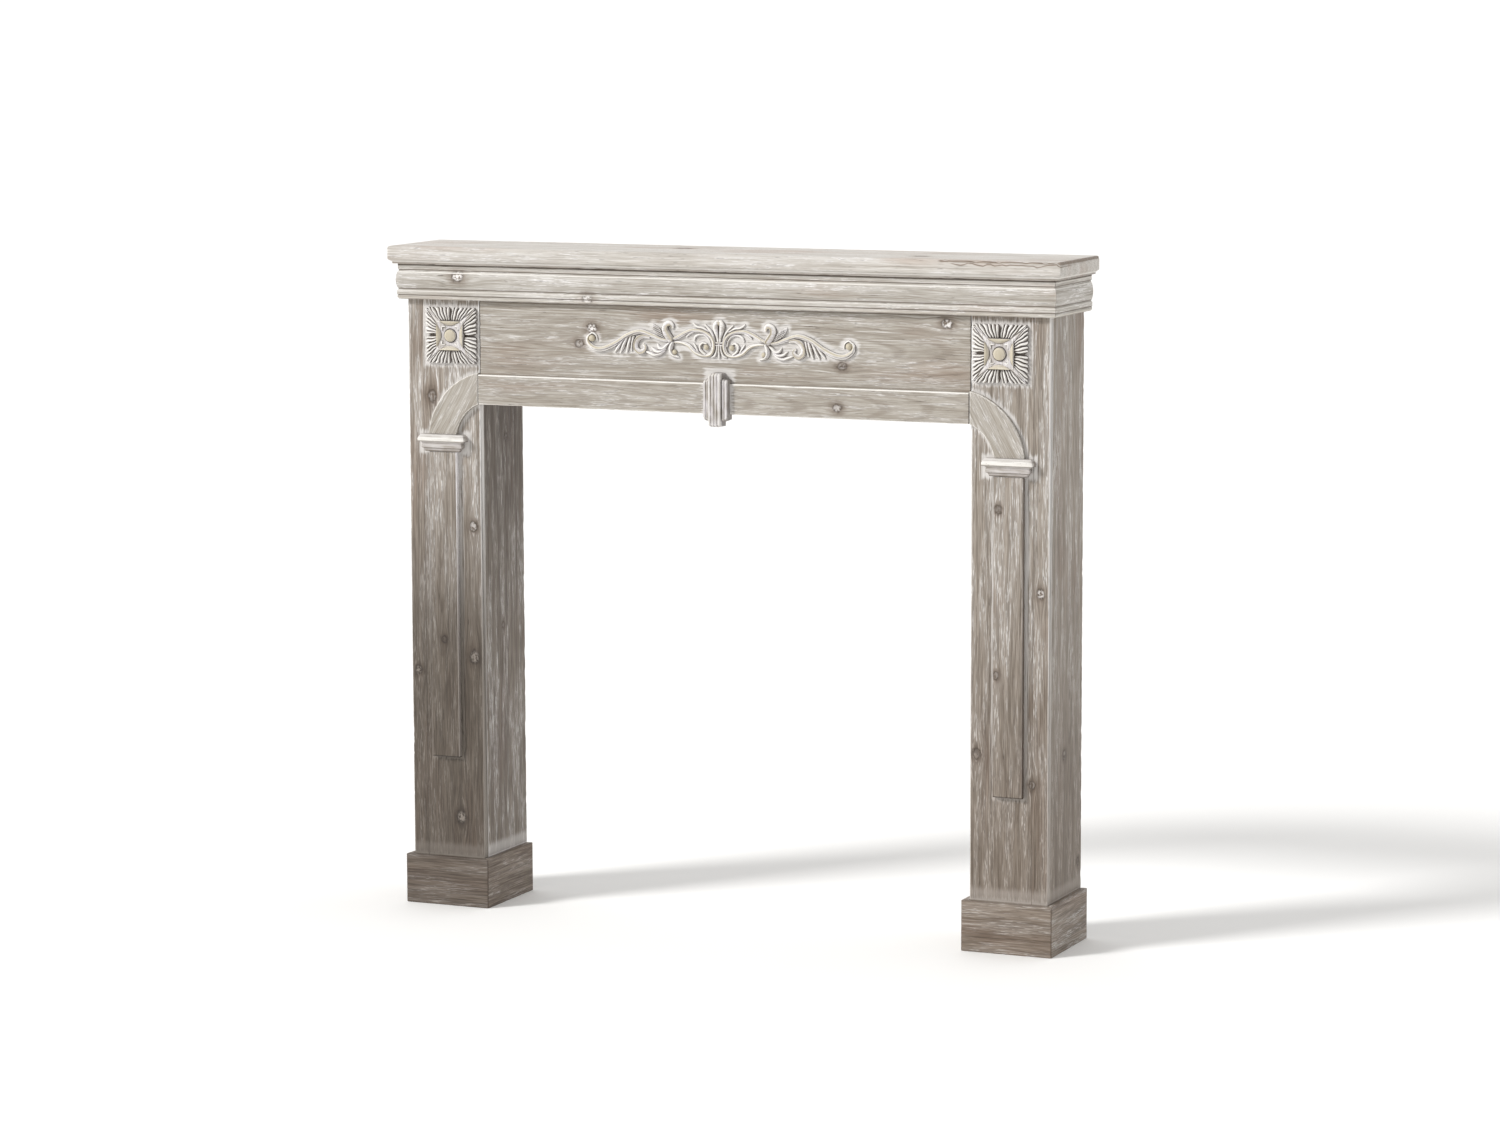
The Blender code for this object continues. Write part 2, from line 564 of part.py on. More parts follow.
def rosette_bmesh():
    """Acanthus leaves spread from a rolled lip on each side, a four-pointed star and a round button."""
    half = ROSETTE_SIZE / 2

    def rim(along, ridge):
        return along, 1.0 if ridge or abs(along) == 1.0 else LEAF_NOTCH

    def lip(along, ridge):
        bent = max(0.0, (abs(along) - LIP_BEND_START) / (1.0 - LIP_BEND_START)) ** LIP_BEND_POWER
        return along * LIP_SPREAD, LIP_MIDDLE + (LIP_SPREAD - LIP_MIDDLE) * bent

    def between(along, ridge):
        (rim_x, rim_y), (lip_x, lip_y) = rim(along, ridge), lip(along, ridge)
        return (rim_x + lip_x) / 2, (rim_y + lip_y) / 2

    def circle(along, ridge):
        angle = along * math.pi / 4
        return math.sin(angle), math.cos(angle)

    def level(share):
        return lambda along, ridge: ROSETTE_HEIGHT * share

    def leaf_level(crest, valley):
        def height(along, ridge):
            if along == 0.0:
                return ROSETTE_HEIGHT * SLOT_LEVEL
            return ROSETTE_HEIGHT * (crest if ridge else valley)
        return height

    def lip_level(along, ridge):
        return ROSETTE_HEIGHT * (LIP_LEVEL - LIP_FALL * along ** 2)

    def star_level(along, ridge):
        return ROSETTE_HEIGHT * (STAR_LEVEL + STAR_CLIMB * along ** 2)

    rings = [
        rosette_ring(half, rim, level(0.0)),
        rosette_ring(half, rim, leaf_level(*LEAF_RIM)),
        rosette_ring(half, between, leaf_level(*LEAF_BACK)),
        rosette_ring(half * LIP_FOOT, lip, leaf_level(*LEAF_FOOT)),
        rosette_ring(half * LIP_CREST, lip, lip_level),
        rosette_ring(half * STAR_REACH, circle, star_level),
        rosette_ring(half * DISH_REACH, circle, level(DISH_LEVEL)),
        rosette_ring(half * BUTTON_REACH, circle, level(BUTTON_EDGE)),
    ]
    bm = loft(rings)
    button = max(bm.faces, key=lambda face: face.calc_center_median().z)
    bmesh.ops.poke(bm, faces=[button], offset=ROSETTE_HEIGHT * (1.0 - BUTTON_EDGE))
    return bm


def rosette(side, sign, material, collection):
    """One square rosette, planted at the inner edge of the column's head."""
    bm = rosette_bmesh()
    centre_x = sign * (OPENING_SIDE + ROSETTE_MARGIN + ROSETTE_SIZE / 2)
    place = Matrix.Translation((centre_x, FRONT - GAP, FRIEZE_MIDDLE + ROSETTE_RISE)) @ STANDING
    bmesh.ops.transform(bm, matrix=place, verts=bm.verts)
    add_piece("rosette_" + side, mesh_from(bm, "rosette_" + side), collection, material)


def clear_scene():
    for item in list(bpy.data.objects):
        bpy.data.objects.remove(item)


def main():
    clear_scene()
    collection = bpy.data.collections.new("Fireplace mantelpiece")
    cutters = bpy.data.collections.new("Cutters")
    bpy.context.scene.collection.children.link(collection)
    bpy.context.scene.collection.children.link(cutters)
    column_fir = limed_fir(COLUMN_FINISH)
    plinth_fir = limed_fir(PLINTH_FINISH)
    head_fir = limed_fir(HEAD_FINISH)
    carving = limed_fir(CARVING_FINISH)

    shelf(head_fir, collection)
    crown(head_fir, collection)
    frieze_and_rail(head_fir, collection)
    keystone(carving, collection, cutters)
    scroll(carving, collection, cutters)
    for side, sign in SIDES:
        boards_of_column(side, sign, column_fir, collection)
        plinth(side, sign, plinth_fir, collection)
        pilaster(side, sign, column_fir, collection)
        capital(side, sign, carving, collection)
        arc_bracket(side, sign, column_fir, collection)
        rosette(side, sign, carving, collection)


main()
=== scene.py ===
# Fireplace mantelpiece in limed fir: carved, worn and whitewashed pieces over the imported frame.
# Laid out as an add-on, run as a script. Metres, +Z up, the front faces -Y.

import math

import bmesh
import bpy
import numpy as np
from bpy.props import FloatProperty, FloatVectorProperty, IntProperty, PointerProperty
from bpy.types import Operator, Panel, PropertyGroup
from mathutils import Matrix, Vector, noise


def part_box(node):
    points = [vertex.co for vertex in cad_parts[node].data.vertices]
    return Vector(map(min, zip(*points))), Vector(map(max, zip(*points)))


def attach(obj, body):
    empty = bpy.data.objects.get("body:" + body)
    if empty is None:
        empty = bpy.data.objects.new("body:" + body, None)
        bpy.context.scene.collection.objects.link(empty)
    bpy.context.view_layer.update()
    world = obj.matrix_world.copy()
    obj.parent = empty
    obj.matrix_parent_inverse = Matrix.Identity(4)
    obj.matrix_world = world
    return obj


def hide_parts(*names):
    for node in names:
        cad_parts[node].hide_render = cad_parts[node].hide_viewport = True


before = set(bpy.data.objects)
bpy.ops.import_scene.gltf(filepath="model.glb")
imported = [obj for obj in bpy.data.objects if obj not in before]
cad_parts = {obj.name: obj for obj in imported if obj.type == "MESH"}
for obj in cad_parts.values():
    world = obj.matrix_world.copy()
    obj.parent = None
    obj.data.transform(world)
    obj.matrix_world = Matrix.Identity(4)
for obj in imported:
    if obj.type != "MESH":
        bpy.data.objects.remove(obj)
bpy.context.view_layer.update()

bl_info = {
    "name": "Limed fir mantelpiece",
    "version": (1, 0, 0),
    "blender": (4, 5, 0),
    "location": "3D View > Sidebar > Mantelpiece",
    "description": "Builds the carved and limed pieces of a fir mantelpiece over its frame",
    "category": "Object",
}

MM = 0.001
SIDES = (("left", -1), ("right", 1))

# The plane of the frieze and of the columns' fronts
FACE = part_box("frieze_board")[0].y

# How a board lies: the rotation that turns its grain to X, its width to Y and its thickness to Z
LIES = {
    "across": Matrix(((1, 0, 0), (0, 0, 1), (0, -1, 0))),
    "upright": Matrix(((0, 0, 1), (1, 0, 0), (0, 1, 0))),
    "upright_return": Matrix(((0, 0, 1), (0, 1, 0), (-1, 0, 0))),
    "return": Matrix(((0, 1, 0), (0, 0, 1), (1, 0, 0))),
    "shelf": Matrix(((1, 0, 0), (0, 1, 0), (0, 0, 1))),
    "arc_left": Matrix(((0.5, 0, 0.866), (-0.866, 0, 0.5), (0, -1, 0))),
    "arc_right": Matrix(((0.5, 0, -0.866), (0.866, 0, 0.5), (0, -1, 0))),
}

# Knots, in mm: along the grain, across it, radius, and how far the lime fills them
KNOTS = {
    "column_front_left": ((798, -487, 7.5, 0.2), (598, -418, 6.5, 0.6), (394, -418, 8, 0.7),
                          (368, -516, 6, 0.8), (140, -444, 7.5, 0.8)),
    "column_front_right": ((541, 514, 6, 0.7), (297, 414, 7, 0.1), (256, 502, 5, 0.3)),
    "pilaster_panel_left": ((420, -466, 4.5, 0.1),),
    "pilaster_panel_right": ((664, 450, 5.5, 0.1), (418, 447, 5, 0.2)),
    "column_inner_side_left": ((730, 24, 5, 0.2), (435, 10, 4.5, 0.1)),
    "column_inner_side_right": ((520, 30, 6, 0.3),),
    "column_outer_side_left": ((610, 5, 6, 0.3), (250, 40, 5, 0.1)),
    "column_outer_side_right": ((292, 8, 6, 0.3), (120, 70, 5, 0.2)),
    "frieze_board": ((366, 934, 7, 0.9), (-212, 911, 7, 0.9), (-233, 887, 6, 0.3), (199, 866, 6, 0.2)),
    "lower_rail": ((194, 804, 6, 0.4),),
    "crown_moulding_front": ((-434, 985, 8, 0.9), (-214, 956, 7, 0.8)),
    "shelf_slab": ((-95, 20, 8, 0.3), (310, -25, 7, 0.2)),
}

# Where the growth rings of a board close, in mm: along the grain and across it
HEARTS = {
    "frieze_board": (-233, 889),
    "lower_rail": (-330, 806),
    "column_front_left": (470, -452),
    "column_front_right": (180, 470),
    "pilaster_panel_left": (560, -470),
    "pilaster_panel_right": (500, 470),
    "column_inner_side_left": (560, 25),
    "column_outer_side_right": (480, 30),
}

# Painted lines, each an axis, its place and half width in mm, its share and its tone: dirt in
# the joints, dirt and painted shade in the quirks, painted shadow under the crown and the slab, lime
# and painted highlight on the fillets, the rubbed arrises and the glue seam of each column
ACROSS, UP = 0, 2
# The joint tone draws the dark joints and also the painted shadow under each panel's foot
JOINT_AND_SHADOW = "#4A4037"
SEAM = "#5F5449"
# On the crown the top dark line is painted shadow under the slab's lip, the other dark lines dirt and
# painted shade in the quirks, and the light lines lime and painted highlight on the lips and fillets
CROWN_LINES = ((UP, 1001.2, 1.6, 0.9, "#54493E"), (UP, 998.2, 0.9, 0.6, "#E6E2DB"),
               (UP, 993.4, 1.0, 0.75, "#62574C"), (UP, 989.7, 1.0, 0.8, "#E9E6E0"),
               (UP, 964.2, 1.1, 0.75, "#62574C"), (UP, 961.0, 0.8, 0.6, "#E4E0D9"),
               (UP, 954.6, 1.0, 0.75, "#62574C"), (UP, 950.3, 0.9, 0.5, "#DDD7CC"))
SHELF_LINES = ((UP, 1003.8, 1.1, 0.6, "#7B7064"), (UP, 1006.6, 0.9, 0.7, "#E9E6E1"))
# On the frieze the last line is painted shadow under the crown
FRIEZE_LINES = ((ACROSS, -403.4, 1.3, 0.9, JOINT_AND_SHADOW), (ACROSS, 403.4, 1.3, 0.9, JOINT_AND_SHADOW),
                (UP, 835.4, 0.9, 0.5, "#857A6E"), (UP, 946.6, 1.8, 0.6, "#655A4E"))
# On the rail the first line is lime and painted highlight along its top arris
RAIL_LINES = ((UP, 833.6, 1.1, 0.85, "#F3F0EA"), (ACROSS, -403.4, 1.0, 0.8, JOINT_AND_SHADOW),
              (ACROSS, 403.4, 1.0, 0.8, JOINT_AND_SHADOW))
CAPITAL_LINES = ((UP, 729.3, 0.9, 0.75, "#6E6459"), (UP, 718.6, 0.9, 0.75, "#6E6459"),
                 (UP, 714.4, 0.9, 0.7, "#655B50"), (UP, 738.6, 1.4, 0.6, "#E4E1DD"))
COLUMN_LINES = ((UP, 82.0, 16.0, 0.5, "#CFCBC8"), (UP, 78.2, 1.0, 0.7, "#E4E1DD"))

# The same for the lines up each column's front, which mirror each other
COLUMN_UPRIGHTS = ((502, 0.9, 0.5, SEAM), (404.6, 0.9, 0.75, "#F0EEEC"), (526.4, 0.8, 0.55, "#F0EEEC"))

# The panel's edge towards the camera: limed on the left column, dirty on the right one
PANEL_EDGES = {"left": (1.5, 1.0, "#F4F2F3"), "right": (1.0, 0.7, SEAM)}

# Painted shade: tones that darken a column towards its foot, or a hidden side towards its top
# under the head: tone, from height and to height
SHADE_FADES = {"left": ("#968F87", 0.76, 0.36), "right": ("#C9C2BB", 0.72, 0.1), "hidden": ("#BDB7B2", 0.35, 0.9)}

# Where the shelf's front arris has chipped away: how far from the right end, how deep, and the
# loops under the top that make its ragged foot, in mm
CHIPPED_LENGTH = 190
CHIPPED_DEPTH = 1.2
CHIPPED_FOOT = (4.8, 6.0, 7.4)

# Painted shade over each plinth board: the left plinth is darker than the right one
PLINTH_SHADES = {"front_left": "#B2ACA7", "inner_side_left": "#DFDAD6", "outer_side_left": "#CFC9C4",
                 "front_right": "#E4DFDA"}

# The arcs, in mm: middle across, middle height, inner and outer radius
ARC = (379.5, 729.0, 64.3, 110.6)

# How much wider the scroll's strokes are than measured, and how high for their half width
SCROLL_FULLNESS = 1.12
SCROLL_SECTION = 1.25

# The scroll's right half: section, then points of x, z and half width in mm from the tie
SCROLL_STROKES = {
    "loop": ("stem", (79, -0.5, 1.6), (62, -1.5, 2.0), (50, -5.5, 2.7), (38, -15.5, 3.0), (24, -19.8, 2.4),
             (13, -16.5, 2.8), (8.8, -5, 3.2), (12.5, 7.5, 3.0), (24, 15.5, 2.8), (40, 18, 2.9),
             (54, 14, 3.0), (68, 6.5, 2.8)),
    "stem": ("stem", (66, 7.5, 2.6), (80, 2.2, 2.5), (94, 2.5, 2.6), (110, 8, 3.1), (130, 13.3, 3.6),
             (150, 7.5, 3.6), (170, -5, 3.7), (190, -13.7, 3.9), (205, -14.3, 3.8), (215.5, -8, 3.2),
             (218.8, -0.5, 2.6), (216.5, 5, 1.9)),
    "eye_ring": ("ridge", (217.5, 3.5, 1.9), (211, 8.8, 1.5), (204.2, 5, 1.3), (202.8, -2, 1.0)),
    "inner_arm": ("ridge", (13, -5, 1.6), (15.8, 4, 1.8), (23, 10.8, 1.8), (32, 11.8, 1.8),
                  (38.5, 8.3, 1.9), (40.5, 3.5, 1.5)),
    "inner_curl": ("ridge", (23, -18, 2.2), (30, -12, 2.4), (31, -5.5, 2.3), (27, -1, 1.8),
                   (21.5, -2, 1.4)),
    "inner_leaf": ("ridge", (34, -15, 1.8), (38, -8, 2.0), (41.5, -2.5, 1.1)),
    "loop_lobe": ("ridge", (43, 15, 2.0), (50, 11, 2.0), (53.5, 7.5, 1.1)),
    "leaf_low": ("ridge", (6.8, 1, 1.8), (10, 11, 2.2), (15, 18.5, 2.3), (22.5, 26, 1.3)),
    "leaf_high": ("ridge", (17, 17, 2.0), (26, 21.5, 2.3), (35, 23, 2.2), (42, 27.8, 1.2)),
    "palmette_lobe": ("lobe", (1.5, 1.5, 1.8), (2.4, 9, 2.3), (4.4, 17, 3.7), (5.4, 25, 4.4),
                      (3.4, 30.5, 3.4), (0.6, 31.5, 2.6)),
    "tail": ("ridge", (3, -4, 1.8), (3.8, -12, 2.1), (7.2, -19.5, 2.0), (12, -21.8, 1.2)),
    "hook": ("hollow", (80, 3.5, 5.2), (85, 10, 5.4), (88.5, 17, 5.0), (87.3, 24, 4.4), (82, 27.3, 4.0),
             (77.6, 25, 3.3), (76.6, 21.5, 2.4)),
    "seed_leaf": ("seeds", (90, 4.5, 2.2), (96, 11, 3.8), (102.5, 17, 4.3), (107, 21, 3.2),
                  (110, 24.5, 1.4)),
    "drop": ("ridge", (76.5, -1.5, 3.0), (79.3, -8.5, 3.8), (79, -15.5, 3.6), (75, -20.8, 2.9),
             (67, -23.3, 1.4)),
    "leaf_one": ("ridge", (80, -1, 1.6), (86, -5.8, 2.4), (92, -10.8, 3.2), (98, -10.5, 3.1),
                 (101.5, -5.5, 1.3)),
    "leaf_two": ("ridge", (89, -11.5, 2.2), (97, -16, 3.2), (104, -15.8, 3.0), (111, -10.5, 1.2)),
    "leaf_three": ("ridge", (90, -14.5, 1.8), (97, -19.3, 2.9), (106, -21.4, 3.0), (114.5, -18.8, 2.4),
                   (121, -16, 1.4)),
    "c_scroll": ("hollow", (116, 5.8, 2.6), (125, 6.5, 3.4), (133, 3, 4.0), (137.6, -4.5, 4.0),
                 (137, -12.5, 4.0), (131, -17.3, 3.8), (124.5, -15.3, 3.2), (122, -10, 2.6),
                 (124.5, -6.5, 1.8)),
    "blade_one": ("ridge", (141.5, 5, 2.3), (143.5, -5, 2.5), (145.5, -15.5, 1.3)),
    "blade_two": ("ridge", (146, 4.5, 2.5), (149.5, -7, 3.0), (153, -18.5, 1.4)),
    "blade_three": ("ridge", (152.5, 2.5, 2.5), (158.5, -9, 3.0), (163, -19, 1.4)),
    "blade_four": ("ridge", (160, -2.5, 2.3), (166.5, -10.5, 2.8), (172.5, -18.5, 1.3)),
    "tie_high": ("ridge", (-7, 0, 1.7), (7, 0, 1.7)),
    "tie_low": ("ridge", (-7, -4, 1.7), (7, -4, 1.7)),
    "tail_middle": ("ridge", (0, -3, 1.9), (0, -14, 2.5), (0, -22, 1.5)),
}
# Its round bosses, as x, z and radius, and how far the tie stands under the middle
SCROLL_BOSSES = ((211, 1, 5.2), (21, -7, 4.2), (73.3, -15.8, 3.9), (0, 29.5, 3.4))
SCROLL_MIDDLE = 4.76

# How a relief is cut and marked: the snap to its outline in cells, the reach in mm over which a
# crest is told from a valley, and how much painted shade darkens its lee side, down and to the right
SNAP = 0.6
CREST_REACH = 1.4
LEE_SHADE_SHARE = 0.17


def linear(text):
    """A sRGB hex colour as linear red, green, blue and full alpha."""
    channels = [int(text[i:i + 2], 16) / 255 for i in (1, 3, 5)]
    return [c / 12.92 if c <= 0.04045 else ((c + 0.055) / 1.055) ** 2.4 for c in channels] + [1.0]


def colour_property(name, description, text):
    return FloatVectorProperty(name=name, description=description, default=linear(text), size=4,
                               min=0.0, max=1.0, subtype="COLOR")


class MantelSizes(PropertyGroup):
    """Sizes of the finishing work"""

    ease: FloatProperty(name="Eased edge", description="Rounding on a board's arrises",
                        default=0.9 * MM, unit="LENGTH")
    strip: FloatProperty(name="Worn strip", description="Width of the wear along an arris",
                         default=4.0 * MM, unit="LENGTH")
    dents: FloatProperty(name="Dents", description="Deepest dent in an arris",
                         default=0.8 * MM, unit="LENGTH")
    pace: FloatProperty(name="Pace", description="Spacing of the cuts along a board",
                        default=6.0 * MM, unit="LENGTH")
    board_cell: FloatProperty(name="Board cell", description="Fineness of the boards that carry ornament",
                              default=3.0 * MM, unit="LENGTH")
    carving_cell: FloatProperty(name="Carving cell", description="Fineness of the carved pieces",
                                default=0.45 * MM, unit="LENGTH")
    lime_reach: FloatProperty(name="Lime reach", description="How far lime gathers round applied pieces",
                              default=12.0 * MM, unit="LENGTH")
    ribs: IntProperty(name="Ribs", description="Ribs on each side of a rosette", default=12)


class MantelColours(PropertyGroup):
    """Colours of the limed finish"""

    wash: colour_property("Lime wash", "White left in the grain and the crevices", "#E2DFDC")
    cool: colour_property("Cool wash", "Thin wash in the hollows of the carving", "#CECACB")
    ochre: colour_property("Ochre", "Rubbed high points of the carving", "#B8AD93")
    umber: colour_property("Umber", "Stain in cracks, knots and open joints", "#463A2F")
    # The rubbed crest colour is lime and painted highlight on the carving's crests, and the valley colour
    # stain and painted shade between its ribs
    rim: colour_property("Rubbed crest", "Whitest points of the carving", "#EFECE6")
    valley: colour_property("Valley", "Stain between the ribs of the carving", "#5B5249")


# Settings that many nodes share
SOFT = {"interpolation_type": "SMOOTHSTEP"}
MIX = {"data_type": "RGBA", "out": 2}
DARKEN = {"data_type": "RGBA", "out": 2, "blend_type": "MULTIPLY"}


def add(tree, kind, fill=None, out=0, **settings):
    """Add a shader node, set its properties and fill its inputs with values or other nodes' outputs.

    Gives the output asked for."""
    node = tree.nodes.new("ShaderNode" + kind)
    for name, value in settings.items():
        setattr(node, name, value)
    for name, value in (fill or {}).items():
        if isinstance(value, bpy.types.NodeSocket):
            tree.links.new(value, node.inputs[name])
        else:
            node.inputs[name].default_value = value
    return node.outputs[out]


def grain_noise(tree, lay, length, width, detail=2.0):
    """Noise drawn out along the grain: the length and width of its marks are in mm."""
    marks = (1 / MM / length, 1 / MM / width, 1 / MM / width)
    drawn = add(tree, "VectorMath", {0: lay, 1: marks}, operation="MULTIPLY")
    return add(tree, "TexNoise", {"Vector": drawn, "Scale": 1.0, "Detail": detail})


def sum_of(tree, *terms):
    """Add up values, each given with its weight."""
    total = 0.0
    for value, weight in terms:
        total = add(tree, "Math", {0: value, 1: weight, 2: total}, operation="MULTIPLY_ADD")
    return total


def paint_lines(tree, colour, place, lines, uneven):
    """Draw straight lines with a slightly broken edge."""
    spots = add(tree, "SeparateXYZ", {0: place}).node
    for axis, middle, half, share, tone in lines:
        away = add(tree, "Math", {0: spots.outputs[axis], 1: middle * MM}, operation="SUBTRACT")
        away = add(tree, "Math", {0: away}, operation="ABSOLUTE")
        reach = sum_of(tree, (away, 1 / (half * MM)), (uneven, 0.8))
        drawn = add(tree, "MapRange", {0: reach, 1: 1.6, 2: 0.9, 4: share}, **SOFT)
        colour = add(tree, "Mix", {0: drawn, 6: colour, 7: linear(tone)}, **MIX)
    return colour


def bend_round_knots(tree, board, knots):
    """Lead the grain round the knots.

    Gives the bent place, the distance to the nearest knot in radii, and how much lime fills it."""
    bent = board
    nearest = 50.0
    filled = 0.0
    for along, across, radius, white in knots:
        size = radius * MM
        middle = (along * MM, across * MM, 0.0)
        offset = add(tree, "VectorMath", {0: board, 1: middle}, operation="SUBTRACT")
        ovals = []
        for length, width in ((0.8, 1.0), (0.13, 0.36)):
            scale = (length / size, width / size, 0.0)
            oval = add(tree, "VectorMath", {0: offset, 1: scale}, operation="MULTIPLY")
            ovals.append(add(tree, "VectorMath", {0: oval}, "Value", operation="LENGTH"))
        away, reach = ovals
        nearest = add(tree, "Math", {0: nearest, 1: away}, operation="MINIMUM")
        lime = add(tree, "MapRange", {0: away, 1: 1.15, 2: 0.45, 4: white}, **SOFT)
        filled = add(tree, "Math", {0: filled, 1: lime}, operation="MAXIMUM")
        pull = add(tree, "MapRange", {0: reach, 1: 1.0, 2: 0.0, 4: 0.85}, **SOFT)
        shift = add(tree, "VectorMath", {0: offset, "Scale": pull}, operation="SCALE")
        shift = add(tree, "VectorMath", {0: shift, 1: (0.0, 1.0, 0.0)}, operation="MULTIPLY")
        bent = add(tree, "VectorMath", {0: bent, 1: shift}, operation="SUBTRACT")
    return bent, nearest, filled


def growth_rings(tree, board, heart, warp):
    """Late wood in a flat-sawn board: lines 5 mm apart that close in arches over the heart."""
    middle = (heart[0] * MM, heart[1] * MM, 0.0)
    away = add(tree, "VectorMath", {0: board, 1: middle}, operation="SUBTRACT")
    parts = add(tree, "SeparateXYZ", {0: away}).node
    run = add(tree, "Math", {0: parts.outputs["X"]}, operation="ABSOLUTE")
    deep = sum_of(tree, (run, 0.07), (1.0, 0.006))
    arm = add(tree, "CombineXYZ", {0: parts.outputs["Y"], 1: deep})
    radius = add(tree, "VectorMath", {0: arm}, "Value", operation="LENGTH")
    phase = sum_of(tree, (radius, 2 * math.pi / (5 * MM)), (warp, 9.0))
    ring = add(tree, "Math", {0: phase}, operation="SINE")
    return add(tree, "MapRange", {0: ring, 1: 0.35, 2: 1.0}, **SOFT)


def paint_knots(tree, colour, board, nearest, filled):
    """Shade each knot, draw its dark bark ring and fill its heart with chips of lime."""
    ragged = sum_of(tree, (grain_noise(tree, board, 7, 6, 4.0), 1.3), (nearest, 1.0), (1.0, -0.65))
    bark = add(tree, "ValToRGB", {0: sum_of(tree, (ragged, 0.5))})
    ramp = bark.node.color_ramp
    ramp.elements[0].color = (0.4, 0.4, 0.4, 1.0)
    ramp.elements[1].color = (0.0, 0.0, 0.0, 1.0)
    for position, level in ((0.2, 0.45), (0.3, 0.45), (0.42, 0.9), (0.5, 0.6), (0.62, 0.15)):
        ramp.elements.new(position).color = (level, level, level, 1.0)
    shade = add(tree, "MapRange", {0: ragged, 1: 2.8, 2: 0.6, 4: 0.5}, **SOFT)
    colour = add(tree, "Mix", {0: shade, 6: colour, 7: linear("#A58B72")}, **DARKEN)
    umber = tuple(bpy.context.scene.mantel_colours.umber)
    colour = add(tree, "Mix", {0: bark, 6: colour, 7: umber}, **MIX)
    chips = grain_noise(tree, board, 4, 3, 3.0)
    chips = add(tree, "MapRange", {0: chips, 1: 0.4, 2: 0.56}, **SOFT)
    chips = add(tree, "Math", {0: filled, 1: chips}, operation="MULTIPLY")
    return add(tree, "Mix", {0: chips, 6: colour, 7: linear("#EDE9E6")}, **MIX)


# Tones of the boards: dark, middle and light wood, and how much wash they hold
TONES = {
    "shelf": ("#A59E95", "#BDB7AF", "#D1CDC7", 1.0),
    "crown": ("#8F877C", "#ABA59C", "#C3BFB9", 1.15),
    "head": ("#8A8277", "#9D958A", "#ADA79D", 0.65),
    "column": ("#6D6358", "#8E8479", "#A69C91", 0.85),
    # The recess tone is painted shade: it makes the inner sides of the columns darker than their other
    # boards
    "shaded_recess": ("#4F453C", "#6B6055", "#82786C", 0.75),
    "plinth": ("#5D5145", "#807468", "#9F9488", 0.65),
}


def new_material(name):
    """A material with its tree, its shader and the place its pattern is met at."""
    material = bpy.data.materials.new(name)
    material.use_nodes = True
    tree = material.node_tree
    return material, tree, tree.nodes["Principled BSDF"], add(tree, "TexCoord", out="Object")


def dress(tree, shader, colour, relief, depth, strength):
    """Give a shader its colour and the fine relief of its grain, whose depth is in mm."""
    bump = add(tree, "Bump", {"Height": relief, "Distance": depth * MM, "Strength": strength})
    tree.links.new(colour, shader.inputs["Base Color"])
    tree.links.new(bump, shader.inputs["Normal"])


